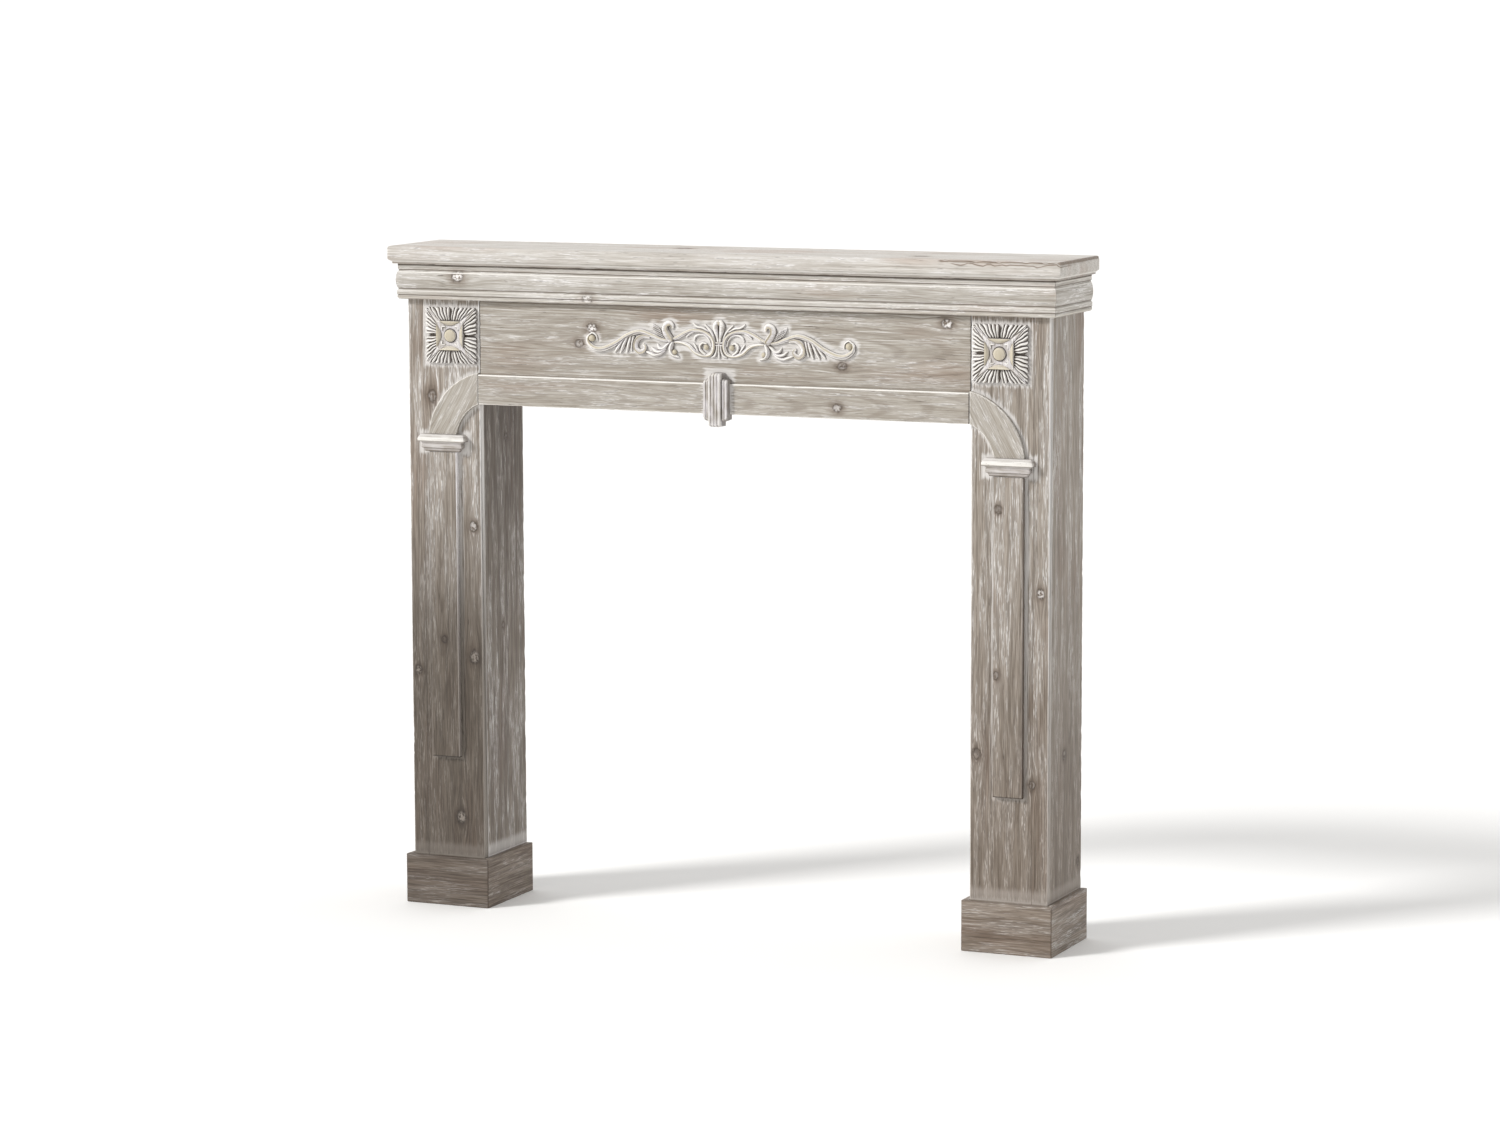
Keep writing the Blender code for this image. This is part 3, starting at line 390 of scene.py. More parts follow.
def limed_fir(name, lies, tone, node, seat, fade=("#FFFFFF", 1.0, 0.0), arris="#C9C1B6",
              arris_share=0.5, lines=()):
    """Fir, planed, brushed and limed: streaky taupe grain with white left in the pores.

    The brushed grain gives the eye long broken streaks. The wash lies in patches of short white
    flecks, drawn 2 mm wide where the real ones are half of that, so that they show. Knots keep a
    dark ring, growth rings close in arches, and the arrises are rubbed. The fade is painted shade, a
    tone that darkens the board from one height to another."""
    colours = bpy.context.scene.mantel_colours
    dark, middle, light, washed = TONES[tone]
    material, tree, shader, place = new_material(name)
    board = add(tree, "Mapping", {"Vector": place, "Rotation": LIES[lies].to_euler()})
    bent, nearest, filled = bend_round_knots(tree, board, KNOTS.get(node, ()))
    moved = add(tree, "VectorMath", {0: bent, 1: (seat, seat * 0.7, seat * 0.3)}, operation="ADD")
    wave = grain_noise(tree, moved, 260, 45)
    sway = (0.0, 9 * MM, 4 * MM)
    lay = add(tree, "VectorMath", {0: wave, 1: sway, 2: moved}, operation="MULTIPLY_ADD")

    broad = grain_noise(tree, lay, 320, 8)
    streak = grain_noise(tree, lay, 130, 2.4, 3.0)
    fibre = grain_noise(tree, lay, 40, 1.3)
    depth = sum_of(tree, (broad, 0.3), (streak, 0.7), (fibre, 0.6))
    depth = add(tree, "MapRange", {0: depth, 1: 0.53, 2: 1.07}, **SOFT)
    tint = add(tree, "ValToRGB", {0: depth})
    ramp = tint.node.color_ramp
    ramp.elements[0].color = linear(dark)
    ramp.elements[1].color = linear(light)
    ramp.elements.new(0.5).color = linear(middle)
    colour = tint
    if node in HEARTS:
        ring = growth_rings(tree, bent, HEARTS[node], wave)
        faint = add(tree, "MapRange", {0: streak, 1: 0.3, 2: 0.6, 4: 0.4}, **SOFT)
        ring = add(tree, "Math", {0: ring, 1: faint}, operation="MULTIPLY")
        colour = add(tree, "Mix", {0: ring, 6: colour, 7: linear("#A8998A")}, **DARKEN)

    stain = grain_noise(tree, lay, 230, 45)
    stain = add(tree, "MapRange", {0: stain, 1: 0.5, 2: 0.7, 4: 0.45}, **SOFT)
    colour = add(tree, "Mix", {0: stain, 6: colour, 7: linear("#DBC3B3")}, **DARKEN)
    patch = grain_noise(tree, lay, 150, 15, 4.0)
    patch = add(tree, "MapRange", {0: patch, 1: 0.42, 2: 0.6}, **SOFT)
    short = grain_noise(tree, lay, 24, 1.4)
    fleck = add(tree, "MapRange", {0: short, 1: 0.54, 2: 0.62}, **SOFT)
    flecks = add(tree, "Math", {0: patch, 1: fleck}, operation="MULTIPLY")
    pores = add(tree, "MapRange", {0: fibre, 1: 0.55, 2: 0.72}, **SOFT)
    halo = add(tree, "Attribute", out="Fac", attribute_name="halo")
    halo = sum_of(tree, (halo, 1.0), (streak, 1.3), (fibre, 0.9))
    halo = add(tree, "MapRange", {0: halo, 1: 1.4, 2: 1.95, 4: 0.75}, **SOFT)
    wash = sum_of(tree, (flecks, 0.85 * washed), (pores, 0.22 * washed), (patch, 0.14 * washed))
    wash = add(tree, "Math", {0: wash, 1: halo}, operation="MAXIMUM")
    colour = add(tree, "Mix", {0: wash, 6: colour, 7: tuple(colours.wash)}, **MIX)
    cracks = add(tree, "MapRange", {0: short, 1: 0.66, 2: 0.73, 4: 0.6}, **SOFT)
    colour = add(tree, "Mix", {0: cracks, 6: colour, 7: tuple(colours.umber)}, **MIX)

    if node in KNOTS:
        colour = paint_knots(tree, colour, board, nearest, filled)
    worn = add(tree, "Attribute", out="Fac", attribute_name="arris")
    worn = sum_of(tree, (worn, 1.0), (streak, 0.9), (fibre, 0.5))
    worn = add(tree, "MapRange", {0: worn, 1: 1.15, 2: 1.65, 4: arris_share}, **SOFT)
    colour = add(tree, "Mix", {0: worn, 6: colour, 7: linear(arris)}, **MIX)
    colour = paint_lines(tree, colour, place, lines, streak)
    # Painted shade: a tone that darkens the board from one height to another
    height = add(tree, "SeparateXYZ", {0: place}, "Z")
    shade_fading = add(tree, "MapRange", {0: height, 1: fade[1], 2: fade[2]}, **SOFT)
    colour = add(tree, "Mix", {0: shade_fading, 6: colour, 7: linear(fade[0])}, **DARKEN)

    rough = add(tree, "MapRange", {0: wash, 3: 0.6, 4: 0.82})
    tree.links.new(rough, shader.inputs["Roughness"])
    relief = sum_of(tree, (streak, 0.8), (fibre, 0.7), (flecks, 0.35), (cracks, -0.8))
    dress(tree, shader, colour, relief, 0.6, 0.8)
    return material


def limed_carving(name, lies, seat, flat="#ABA49B", contrast=0.9, cover=1.0, lines=()):
    """Carved fir under a thick lime wash, rubbed back: stain and painted shade in the valleys, a cool
    white wash on the flats, warm white on the crests, partly lime and partly painted highlight, and
    ochre where the carver's high points were gilded."""
    colours = bpy.context.scene.mantel_colours
    material, tree, shader, place = new_material(name)
    turned = {"Vector": place, "Rotation": LIES[lies].to_euler(), "Location": (seat, seat, seat)}
    lay = add(tree, "Mapping", turned)
    crest = add(tree, "Attribute", out="Fac", attribute_name="crest")
    gold = add(tree, "Attribute", out="Fac", attribute_name="gold")
    cloud = grain_noise(tree, lay, 22, 12, 3.0)
    streak = grain_noise(tree, lay, 34, 1.8, 3.0)
    speck = grain_noise(tree, lay, 3, 1.6)

    thin = sum_of(tree, (cloud, 0.6), (streak, 0.6))
    thin = add(tree, "MapRange", {0: thin, 1: 0.42, 2: 0.72, 4: cover}, **SOFT)
    colour = add(tree, "Mix", {0: thin, 6: linear(flat), 7: tuple(colours.cool)}, **MIX)
    valley = sum_of(tree, (crest, 1.0), (speck, 0.2))
    bright = sum_of(tree, (crest, 1.0), (streak, 0.2))
    rubbed = sum_of(tree, (gold, 1.0), (cloud, 0.4), (speck, 0.3))
    dots = grain_noise(tree, lay, 3.2, 2.6)
    # The valley coat is stain and painted shade in the creases, the crest coat lime and painted highlight
    # on the crests; contrast sets the share of both
    for coat, bare, full, share, tone in ((valley, 0.48, 0.22, contrast, colours.valley),
                                          (bright, 0.64, 0.86, contrast, colours.rim),
                                          (rubbed, 0.75, 1.3, 0.85, colours.ochre),
                                          (dots, 0.7, 0.76, 0.5, colours.umber)):
        coat = add(tree, "MapRange", {0: coat, 1: bare, 2: full, 4: share}, **SOFT)
        colour = add(tree, "Mix", {0: coat, 6: colour, 7: tuple(tone)}, **MIX)
    colour = paint_lines(tree, colour, place, lines, speck)
    shader.inputs["Roughness"].default_value = 0.62
    dress(tree, shader, colour, sum_of(tree, (streak, 0.6), (speck, 0.5)), 0.3, 0.5)
    return material


def face_outward(bm):
    """Turn the faces of a closed mesh outward, by its volume where the board is thin."""
    bmesh.ops.recalc_face_normals(bm, faces=bm.faces)
    if bm.calc_volume(signed=True) < 0:
        bmesh.ops.reverse_faces(bm, faces=bm.faces)


def finish_piece(name, bm, material, nodes, crisp=40.0):
    """Close up a mesh as a piece that stands for its frame nodes and rides with the body."""
    bmesh.ops.remove_doubles(bm, verts=bm.verts, dist=0.005 * MM)
    loose = [edge for edge in bm.edges if not edge.link_faces]
    bmesh.ops.delete(bm, geom=loose, context="EDGES")
    face_outward(bm)
    mesh = bpy.data.meshes.new(name)
    bm.to_mesh(mesh)
    bm.free()
    mesh.shade_smooth()
    mesh.set_sharp_from_angle(angle=math.radians(crisp))
    mesh.materials.append(material)
    piece = bpy.data.objects.new(name, mesh)
    bpy.context.scene.collection.objects.link(piece)
    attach(piece, "root")
    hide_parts(*nodes)


def wear(bm, layer, dents, seed):
    """Knock small dents into the arrises."""
    bm.normal_update()
    for vert in bm.verts:
        if vert[layer] < 0.5:
            continue
        spot = vert.co / (14 * MM) + Vector((seed, seed * 2.0, seed * 3.0))
        bite = max(0.0, noise.noise(spot) + 0.4 * noise.noise(spot * 3.1) - 0.05)
        vert.co -= vert.normal * dents * min(1.0, bite * 1.6)


def cut_along(bm, axis, pace):
    """Cut the long edges that run along one axis into paces."""
    long_edges = []
    for edge in bm.edges:
        run = edge.verts[1].co - edge.verts[0].co
        if abs(run[axis]) > 4 * pace and abs(run[axis]) > 0.98 * run.length:
            long_edges.append(edge)
    if long_edges:
        longest = max(edge.calc_length() for edge in long_edges)
        bmesh.ops.subdivide_edges(bm, edges=long_edges, cuts=int(longest / pace), use_grid_fill=True)


def soften(bm, arrises, ease):
    bmesh.ops.bevel(bm, geom=arrises, offset=ease, offset_type="OFFSET", affect="EDGES",
                    segments=2, profile=0.5, material=-1, clamp_overlap=True)


def worn_board(bm, seed):
    """Soften and dent a board's arrises. Its attribute says how near a point is to an arris."""
    sizes = bpy.context.scene.mantel_sizes
    spots = np.array([vert.co for vert in bm.verts])
    size = spots.max(0) - spots.min(0)
    layer = bm.verts.layers.float.new("arris")
    corners = set(bm.verts)
    for vert in corners:
        vert[layer] = 1.0
    bmesh.ops.inset_individual(bm, faces=bm.faces[:], thickness=min(sizes.strip, min(size) * 0.3),
                               use_even_offset=True)
    for vert in bm.verts:
        if vert not in corners:
            vert[layer] = 0.0
    cut_along(bm, int(size.argmax()), sizes.pace)
    arrises = [edge for edge in bm.edges
               if all(vert[layer] > 0.99 for vert in edge.verts) and edge.calc_face_angle(0.0) > 0.5]
    soften(bm, arrises, sizes.ease)
    wear(bm, layer, sizes.dents, seed)
    return bm


def cube_of(low, high):
    bm = bmesh.new()
    place = Matrix.Translation((low + high) / 2) @ Matrix.Diagonal((*(high - low), 1.0))
    bmesh.ops.create_cube(bm, size=1.0, matrix=place)
    return bm


def frame_copy(node):
    """A welded copy of a frame node, its flat faces whole again."""
    bm = bmesh.new()
    bm.from_mesh(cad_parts[node].data)
    bmesh.ops.remove_doubles(bm, verts=bm.verts, dist=0.01 * MM)
    bmesh.ops.dissolve_limit(bm, angle_limit=math.radians(0.5), verts=bm.verts, edges=bm.edges)
    return bm


def soften_copy(bm, ease, axis):
    """Ease the arrises of a frame node's copy and mark them for wear."""
    cut_along(bm, axis, bpy.context.scene.mantel_sizes.pace)
    layer = bm.verts.layers.float.new("arris")
    arrises = [edge for edge in bm.edges if edge.calc_face_angle(0.0) > math.radians(24)]
    for edge in arrises:
        for vert in edge.verts:
            vert[layer] = 1.0
    soften(bm, arrises, ease)


def smooth_line(points, steps=10):
    """Points along a smooth curve through the given ones."""
    knots = np.array([points[0], *points, points[-1]], float)
    line = []
    for a, b, c, d in zip(knots, knots[1:], knots[2:], knots[3:]):
        for t in np.arange(steps) / steps:
            line.append(0.5 * (2 * b + (c - a) * t + (2 * a - 5 * b + 4 * c - d) * t ** 2
                               + (3 * b - a - 3 * c + d) * t ** 3))
    line.append(knots[-1])
    return np.array(line)


def section_level(section, side, half_width, x, z):
    """How high a stroke stands, from where its section is met: side runs from -1 to 1."""
    edge = np.clip(1 - side ** 2, 0, 1)
    crown = half_width * SCROLL_SECTION
    if section == "stem":
        level = 0.9 * edge ** 0.5 + 0.1 * np.exp(-((side - 0.3) / 0.25) ** 2)
        level -= 0.2 * np.exp(-((side + 0.45) / 0.15) ** 2)
    elif section == "hollow":
        rim = np.exp(-((side - 0.55) / 0.3) ** 2)
        level = np.maximum(0.7 * edge ** 0.4, 0.98 * rim * edge ** 0.3)
    elif section == "lobe":
        level = 0.85 * edge ** 0.6
    elif section == "seeds":
        seeds = np.clip(np.cos(x * 2.1) * np.cos((z - x * 0.5) * 2.1), 0, 1) ** 0.5
        level = 0.5 * edge ** 0.4 + 0.4 * seeds * edge ** 0.3
    else:
        level = 0.4 * edge ** 0.5 + 0.6 * (1 - np.abs(side)) ** 0.9
    return 0.8 + crown * level


def scroll_form(x, z):
    """The scroll, in mm from the tie: distance inside the outline, level and marks."""
    x = np.abs(x)
    inside = np.full(x.shape, -9.0)
    level = np.zeros(x.shape)
    gold = np.zeros(x.shape)
    for section, *points in SCROLL_STROKES.values():
        line = smooth_line([(px, pz, r * SCROLL_FULLNESS) for px, pz, r in points])
        reach = line[:, 2].max() + 8.0
        near = ((x > line[:, 0].min() - reach) & (x < line[:, 0].max() + reach)
                & (z > line[:, 1].min() - reach) & (z < line[:, 1].max() + reach))
        px, pz = x[near], z[near]
        best = np.full(px.shape, -9.0)
        side = np.zeros(px.shape)
        width = np.ones(px.shape)
        for (ax, az, ar), (bx, bz, br) in zip(line, line[1:]):
            dx, dz = bx - ax, bz - az
            run = dx * dx + dz * dz
            if run == 0:
                continue
            t = np.clip(((px - ax) * dx + (pz - az) * dz) / run, 0, 1)
            qx, qz = px - ax - t * dx, pz - az - t * dz
            r = ar + (br - ar) * t
            depth = r - np.hypot(qx, qz)
            nearer = depth > best
            best = np.where(nearer, depth, best)
            turn = np.where(dx * qz - dz * qx > 0, 1.0, -1.0)
            side = np.where(nearer, turn * np.hypot(qx, qz) / r, side)
            width = np.where(nearer, r, width)
        high = section_level(section, np.clip(side, -1, 1), width, px, pz)
        wins = (best > -0.5) & (high > level[near])
        level[near] = np.where(wins, high, level[near])
        shine = np.exp(-((side - 0.4) / 0.5) ** 2) * (0.9 if section in ("stem", "hollow") else 0.15)
        gold[near] = np.where(wins, shine, gold[near])
        inside[near] = np.maximum(inside[near], best)
    for bx, bz, radius in SCROLL_BOSSES:
        away = np.hypot(x - bx, z - bz) / radius
        high = 1.2 + radius * np.sqrt(np.clip(1 - away ** 2, 0, 1))
        wins = (away < 1) & (high > level)
        level = np.where(wins, high, level)
        gold = np.where(wins, 1.0, gold)
        inside = np.maximum(inside, radius * (1 - away))
    return inside, level, {"gold": gold}


def rosette_form(x, z):
    """The square rosette, in mm from its middle: distance inside the outline, level and marks.

    A button in a dish shaped like a star, a rolled lip on each side and ribbed leaves out to the
    rim. Each quarter is met as its distance out from the middle and along its side."""
    ribs = bpy.context.scene.mantel_sizes.ribs
    low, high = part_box("rosette_left")
    half = (high.x - low.x) / MM / 2
    top = (high.y - low.y) / MM
    upright = np.abs(z) >= np.abs(x)
    out = np.where(upright, np.abs(z), np.abs(x))
    along = np.where(upright, x * np.sign(z), -z * np.sign(x))
    lean = np.sin(0.31 * x + 1.3) * np.sin(0.27 * z + 0.4)
    button_radius = 9.4
    lip_half, lip_crest, lip_end = 18.5, 22.3, 22.4

    star = 15.5 + 0.0205 * along ** 2
    rise = np.clip((out - star) / np.maximum(lip_crest - star, 1.0), 0, 1)
    on_lip = (np.abs(along) < lip_half) & (out > star) & (out < lip_end)
    bowl = 5.8 + 3.0 * np.clip((np.hypot(x, z) - 9) / 12, 0, 1) ** 1.5
    bowl = np.where(on_lip, 8.0 + (top - 8.0) * np.sin(rise * math.pi / 2), bowl)

    spread = np.clip((out - 23) / (half - 23), 0, 1)
    across = along / np.maximum(out, 15.0)
    turn = across * ribs / 2 + 0.15 * lean * np.clip(4 * np.abs(across), 0, 1)
    rib = (0.5 + 0.5 * np.cos(2 * math.pi * (turn - 0.5))) ** 0.6
    notch = np.exp(-((turn / 2 - np.round(turn / 2)) / 0.12) ** 2)
    leaf = 5.2 + 2.8 * np.sin(math.pi * np.clip(0.1 + 0.8 * spread, 0, 1)) - 2.4 * spread ** 2
    leaf = leaf + (rib - 0.6) * (2.6 + 1.0 * spread) - 2.6 * notch * spread
    slot = np.exp(-((along + 0.8 * lean) / (2.2 + 0.9 * spread)) ** 4)
    leaf = leaf - (leaf - 0.8) * slot
    level = np.where(out > lip_end, leaf, bowl)
    beside = out - np.abs(along)
    arm_width = 6.0 - 4.4 * np.clip((out - 17) / 24, 0, 1)
    arm = 9.2 - 4.0 * np.clip((out - 17) / 25, 0, 1) - 1.2 * (beside / arm_width) ** 2
    level = np.where((beside < arm_width) & (out > 13), np.maximum(arm, bowl * (out < 22)), level)

    away = np.hypot(x, z)
    button = top - 3.2 + 3.2 * np.sqrt(np.clip(1 - (away / button_radius) ** 2, 0, 1))
    groove = 1.2 * np.exp(-((away - 10.0) / 0.8) ** 2)
    level = np.where(away < button_radius, button, level - groove)
    edge = half - 1.4 * (1 - rib) - 2.6 * notch - 2.0 * slot
    gold = np.where(away < button_radius, 0.85, np.where(on_lip, 0.7 + 0.2 * rise, 0.0))
    return edge - out, np.clip(level, 0.8, top), {"gold": gold}


def keystone_form(x, z):
    """The stepped, reeded keystone, in mm from its middle: distance inside, level and marks."""
    low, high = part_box("keystone")
    half = (high.z - low.z) / MM / 2
    phase = np.abs((x / 5.0) % 1.0 - 0.5) * 2
    bulge = 1.4 * (1 - phase ** 1.5)
    tiers = []
    for width, length, proud in ((20.0, half - 6.4, 18.0), (10.0, half, 22.0)):
        rounded = length - 0.012 * x ** 2 - np.abs(z)
        end = np.clip(rounded / 4.0, 0, 1)
        tier = proud - 1.4 + bulge - 4.2 * (1 - end) ** 1.6
        tiers.append((np.minimum(width - np.abs(x), rounded), tier))
    (outer, outer_level), (middle, middle_level) = tiers
    level = np.where(middle > 0, middle_level, outer_level)
    return np.maximum(outer, middle), level, {"gold": 0.25 * bulge}


def outside_box(x, z, node):
    """How far places on the front, in mm, lie outside a node's outline."""
    low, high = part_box(node)
    aside = np.maximum(low.x / MM - x, x - high.x / MM)
    above = np.maximum(low.z / MM - z, z - high.z / MM)
    return np.maximum(aside, above)


def outside_arc(x, z):
    """The same for the arcs."""
    across, height, inner, outer = ARC
    radius = np.hypot(np.abs(x) - across, z - height)
    return np.maximum(np.maximum(inner - radius, radius - outer), height - z)


def carve(form, low, high, cell):
    """A carved relief within a box: a grid lifted to a form, cut at its outline, closed at the back.

    The form is met in mm from the box's middle, and its level is measured from the back."""
    middle = (low + high) / 2
    half_x, half_z = (high.x - low.x) / MM / 2, (high.z - low.z) / MM / 2
    step = cell / MM
    columns = math.ceil(2 * half_x / step)
    rows = math.ceil(2 * half_z / step)
    x_line = np.linspace(-half_x, half_x, columns + 1)
    z_line = np.linspace(-half_z, half_z, rows + 1)
    x, z = np.meshgrid(x_line, z_line)
    inside, level, marks = form(x, z)
    slope_z, slope_x = np.gradient(inside, z_line, x_line)
    steep = np.maximum(np.hypot(slope_x, slope_z), 0.3)
    snap = np.where(np.abs(inside) < SNAP * step, -inside / steep ** 2, 0.0)
    x = np.clip(x + slope_x * snap, -half_x, half_x)
    z = np.clip(z + slope_z * snap, -half_z, half_z)
    level = np.minimum(level, (high.y - low.y) / MM)
    soft = level.copy()
    for _ in range(int(2 * (CREST_REACH / step) ** 2)):
        soft = (np.roll(soft, 1, 0) + np.roll(soft, -1, 0) + np.roll(soft, 1, 1) + np.roll(soft, -1, 1)) / 4
    # The crest mark is high on crests and low in valleys, and lower on slopes that face down and to the
    # right: painted shade on the lee side
    rise_z, rise_x = np.gradient(level, z_line, x_line)
    lee_shade = np.clip(rise_z - rise_x, 0, 1.6)
    marks["crest"] = np.clip(0.5 + (level - soft) * 0.5 - LEE_SHADE_SHARE * lee_shade, 0, 1)

    bm = bmesh.new()
    bmesh.ops.create_grid(bm, x_segments=columns, y_segments=rows, size=1.0)
    layers = {name: bm.verts.layers.float.new(name) for name in marks}
    outside = []
    for vert in bm.verts:
        i = round((vert.co.x + 1) / 2 * columns)
        j = round((vert.co.y + 1) / 2 * rows)
        vert.co = (x[j, i], z[j, i], level[j, i])
        for name, layer in layers.items():
            vert[layer] = marks[name][j, i]
        if inside[j, i] < -SNAP * step:
            outside.append(vert)
    bmesh.ops.delete(bm, geom=outside, context="VERTS")
    while pinched := [vert for vert in bm.verts if sum(edge.is_boundary for edge in vert.link_edges) > 2]:
        bmesh.ops.delete(bm, geom=pinched, context="VERTS")

    rim = [edge for edge in bm.edges if edge.is_boundary]
    walls = bmesh.ops.extrude_edge_only(bm, edges=rim)["geom"]
    feet = [item for item in walls if isinstance(item, bmesh.types.BMVert)]
    # On a carving the feet take no crest, so the foot of each wall takes the dark valley colour: stain and
    # painted shade round the relief
    for vert in feet:
        vert.co.z = 0.0
        for layer in layers.values():
            vert[layer] = 0.0
    # Straight runs of wall become one face, so that the back closes without slivers
    bm.normal_update()
    rungs = [edge for vert in feet for edge in vert.link_edges if not edge.is_boundary]
    bmesh.ops.dissolve_limit(bm, angle_limit=math.radians(0.1), verts=feet, edges=rungs)
    open_edges = [edge for edge in bm.edges if edge.is_boundary]
    bmesh.ops.triangle_fill(bm, edges=open_edges, use_beauty=False, normal=(0.0, 0.0, -1.0))
    for vert in bm.verts:
        across, up, proud = vert.co
        vert.co = (middle.x + across * MM, high.y - proud * MM, middle.z + up * MM)
    face_outward(bm)
    return bm


def relief_board(node, distances, seed):
    """A board that carries ornament: eased, dented, and marked where lime gathers round the ornament.

    The distances are functions of a place on the front, in mm."""
    sizes = bpy.context.scene.mantel_sizes
    low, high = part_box(node)
    middle = (low + high) / 2

    def form(x, z):
        inside = np.minimum((high.x - low.x) / MM / 2 - np.abs(x), (high.z - low.z) / MM / 2 - np.abs(z))
        nearest = np.full(x.shape, 99.0)
        for distance in distances:
            nearest = np.minimum(nearest, distance(x + middle.x / MM, z + middle.z / MM))
        marks = {"arris": 1 - np.clip(inside * MM / sizes.strip, 0, 1),
                 "halo": np.clip(1 - nearest * MM / sizes.lime_reach, 0, 1)}
        return inside, np.full(x.shape, (high.y - low.y) / MM), marks

    bm = carve(form, low, high, sizes.board_cell)
    soften(bm, [edge for edge in bm.edges if edge.calc_face_angle(0.0) > 1.0], sizes.ease)
    wear(bm, bm.verts.layers.float["arris"], sizes.dents, seed)
    return bm


class MANTEL_OT_shelf(Operator):
    """Make the worn shelf board"""

    bl_idname = "mantel.shelf"
    bl_label = "Shelf"

    def execute(self, context):
        material = limed_fir("Limed fir shelf", "shelf", "shelf", "shelf_slab", 3.1, arris="#6E5C4A",
                             arris_share=0.85, lines=SHELF_LINES)
        low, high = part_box("shelf_slab")
        bm = frame_copy("shelf_slab")
        for under in CHIPPED_FOOT:
            bmesh.ops.bisect_plane(bm, geom=bm.verts[:] + bm.edges[:] + bm.faces[:],
                                   plane_co=(0.0, 0.0, high.z - under * MM), plane_no=(0.0, 0.0, 1.0))
        cap = max(bm.faces, key=lambda face: face.normal.z * face.calc_area())
        bmesh.ops.inset_region(bm, faces=[cap], thickness=context.scene.mantel_sizes.strip)
        soften_copy(bm, 0.6 * MM, 0)
        layer = bm.verts.layers.float["arris"]
        wear(bm, layer, 0.5 * MM, 3.0)
        for vert in bm.verts:
            near_top = vert.co.z > high.z - 4 * MM
            near_rim = vert.co.y < low.y + 4 * MM or abs(vert.co.x) > high.x - 4 * MM
            knocked = 0.85 if vert.co.x > high.x - CHIPPED_LENGTH * MM else 0.45
            vert[layer] = knocked * float(near_top and near_rim) * vert[layer]
        wear(bm, layer, 3.2 * MM, 4.0)
        self.chip(bm, layer, low, high)
        finish_piece("shelf_board", bm, material, ["shelf_slab"], 30.0)
        return {"FINISHED"}

    def chip(self, bm, layer, low, high):
        """Break the front arris away along the right end, down to a ragged line."""
        top, middle, foot = CHIPPED_FOOT
        for vert in bm.verts:
            under = (high.z - vert.co.z) / MM
            run = (vert.co.x - high.x) / MM + CHIPPED_LENGTH
            if run < 0 or under > foot + 0.1 or vert.co.y > low.y + 4 * MM:
                continue
            share = min(1.0, run / 25)
            if under < top + 0.1:
                vert.co.y += CHIPPED_DEPTH * share * MM
            if under > top - 0.1:
                vert.co.z += 4.5 * share * noise.noise(Vector((run / 9, 0.5, 0.5))) * MM
                vert[layer] = share if under > top + 0.1 and under < foot - 0.1 else 0.45 * share


class MANTEL_OT_crown(Operator):
    """Make the three lengths of the crown moulding"""

    bl_idname = "mantel.crown"
    bl_label = "Crown moulding"

    def execute(self, context):
        for part, lies, axis, seat in (("front", "across", 0, 1.7), ("left", "return", 1, 5.3),
                                       ("right", "return", 1, 8.9)):
            node = "crown_moulding_" + part
            material = limed_fir("Limed fir crown " + part, lies, "crown", node, seat, arris="#CFC9C0",
                                 arris_share=0.15, lines=CROWN_LINES)
            bm = frame_copy(node)
            soften_copy(bm, 0.3 * MM, axis)
            wear(bm, bm.verts.layers.float["arris"], 0.4 * MM, seat)
            finish_piece("crown_" + part, bm, material, [node], 30.0)
        return {"FINISHED"}


class MANTEL_OT_frieze(Operator):
    """Make the frieze board and the rail on it"""

    bl_idname = "mantel.frieze"
    bl_label = "Frieze and rail"

    def execute(self, context):
        low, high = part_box("scroll_applique")
        middle = (low + high) / 2

        def outside_scroll(x, z):
            return -scroll_form(x - middle.x / MM, z - middle.z / MM + SCROLL_MIDDLE)[0]

        def outside_keystone(x, z):
            return outside_box(x, z, "keystone")

        for node, name, seat, lines, distances in (
                ("frieze_board", "frieze", 0.4, FRIEZE_LINES, (outside_scroll, outside_keystone)),
                ("lower_rail", "rail", 2.6, RAIL_LINES, (outside_keystone,))):
            material = limed_fir("Limed fir " + name, "across", "head", node, seat, arris="#D8D3CB",
                                 arris_share=0.6, lines=lines)
            finish_piece(name + "_limed", relief_board(node, distances, seat), material, [node])
        return {"FINISHED"}


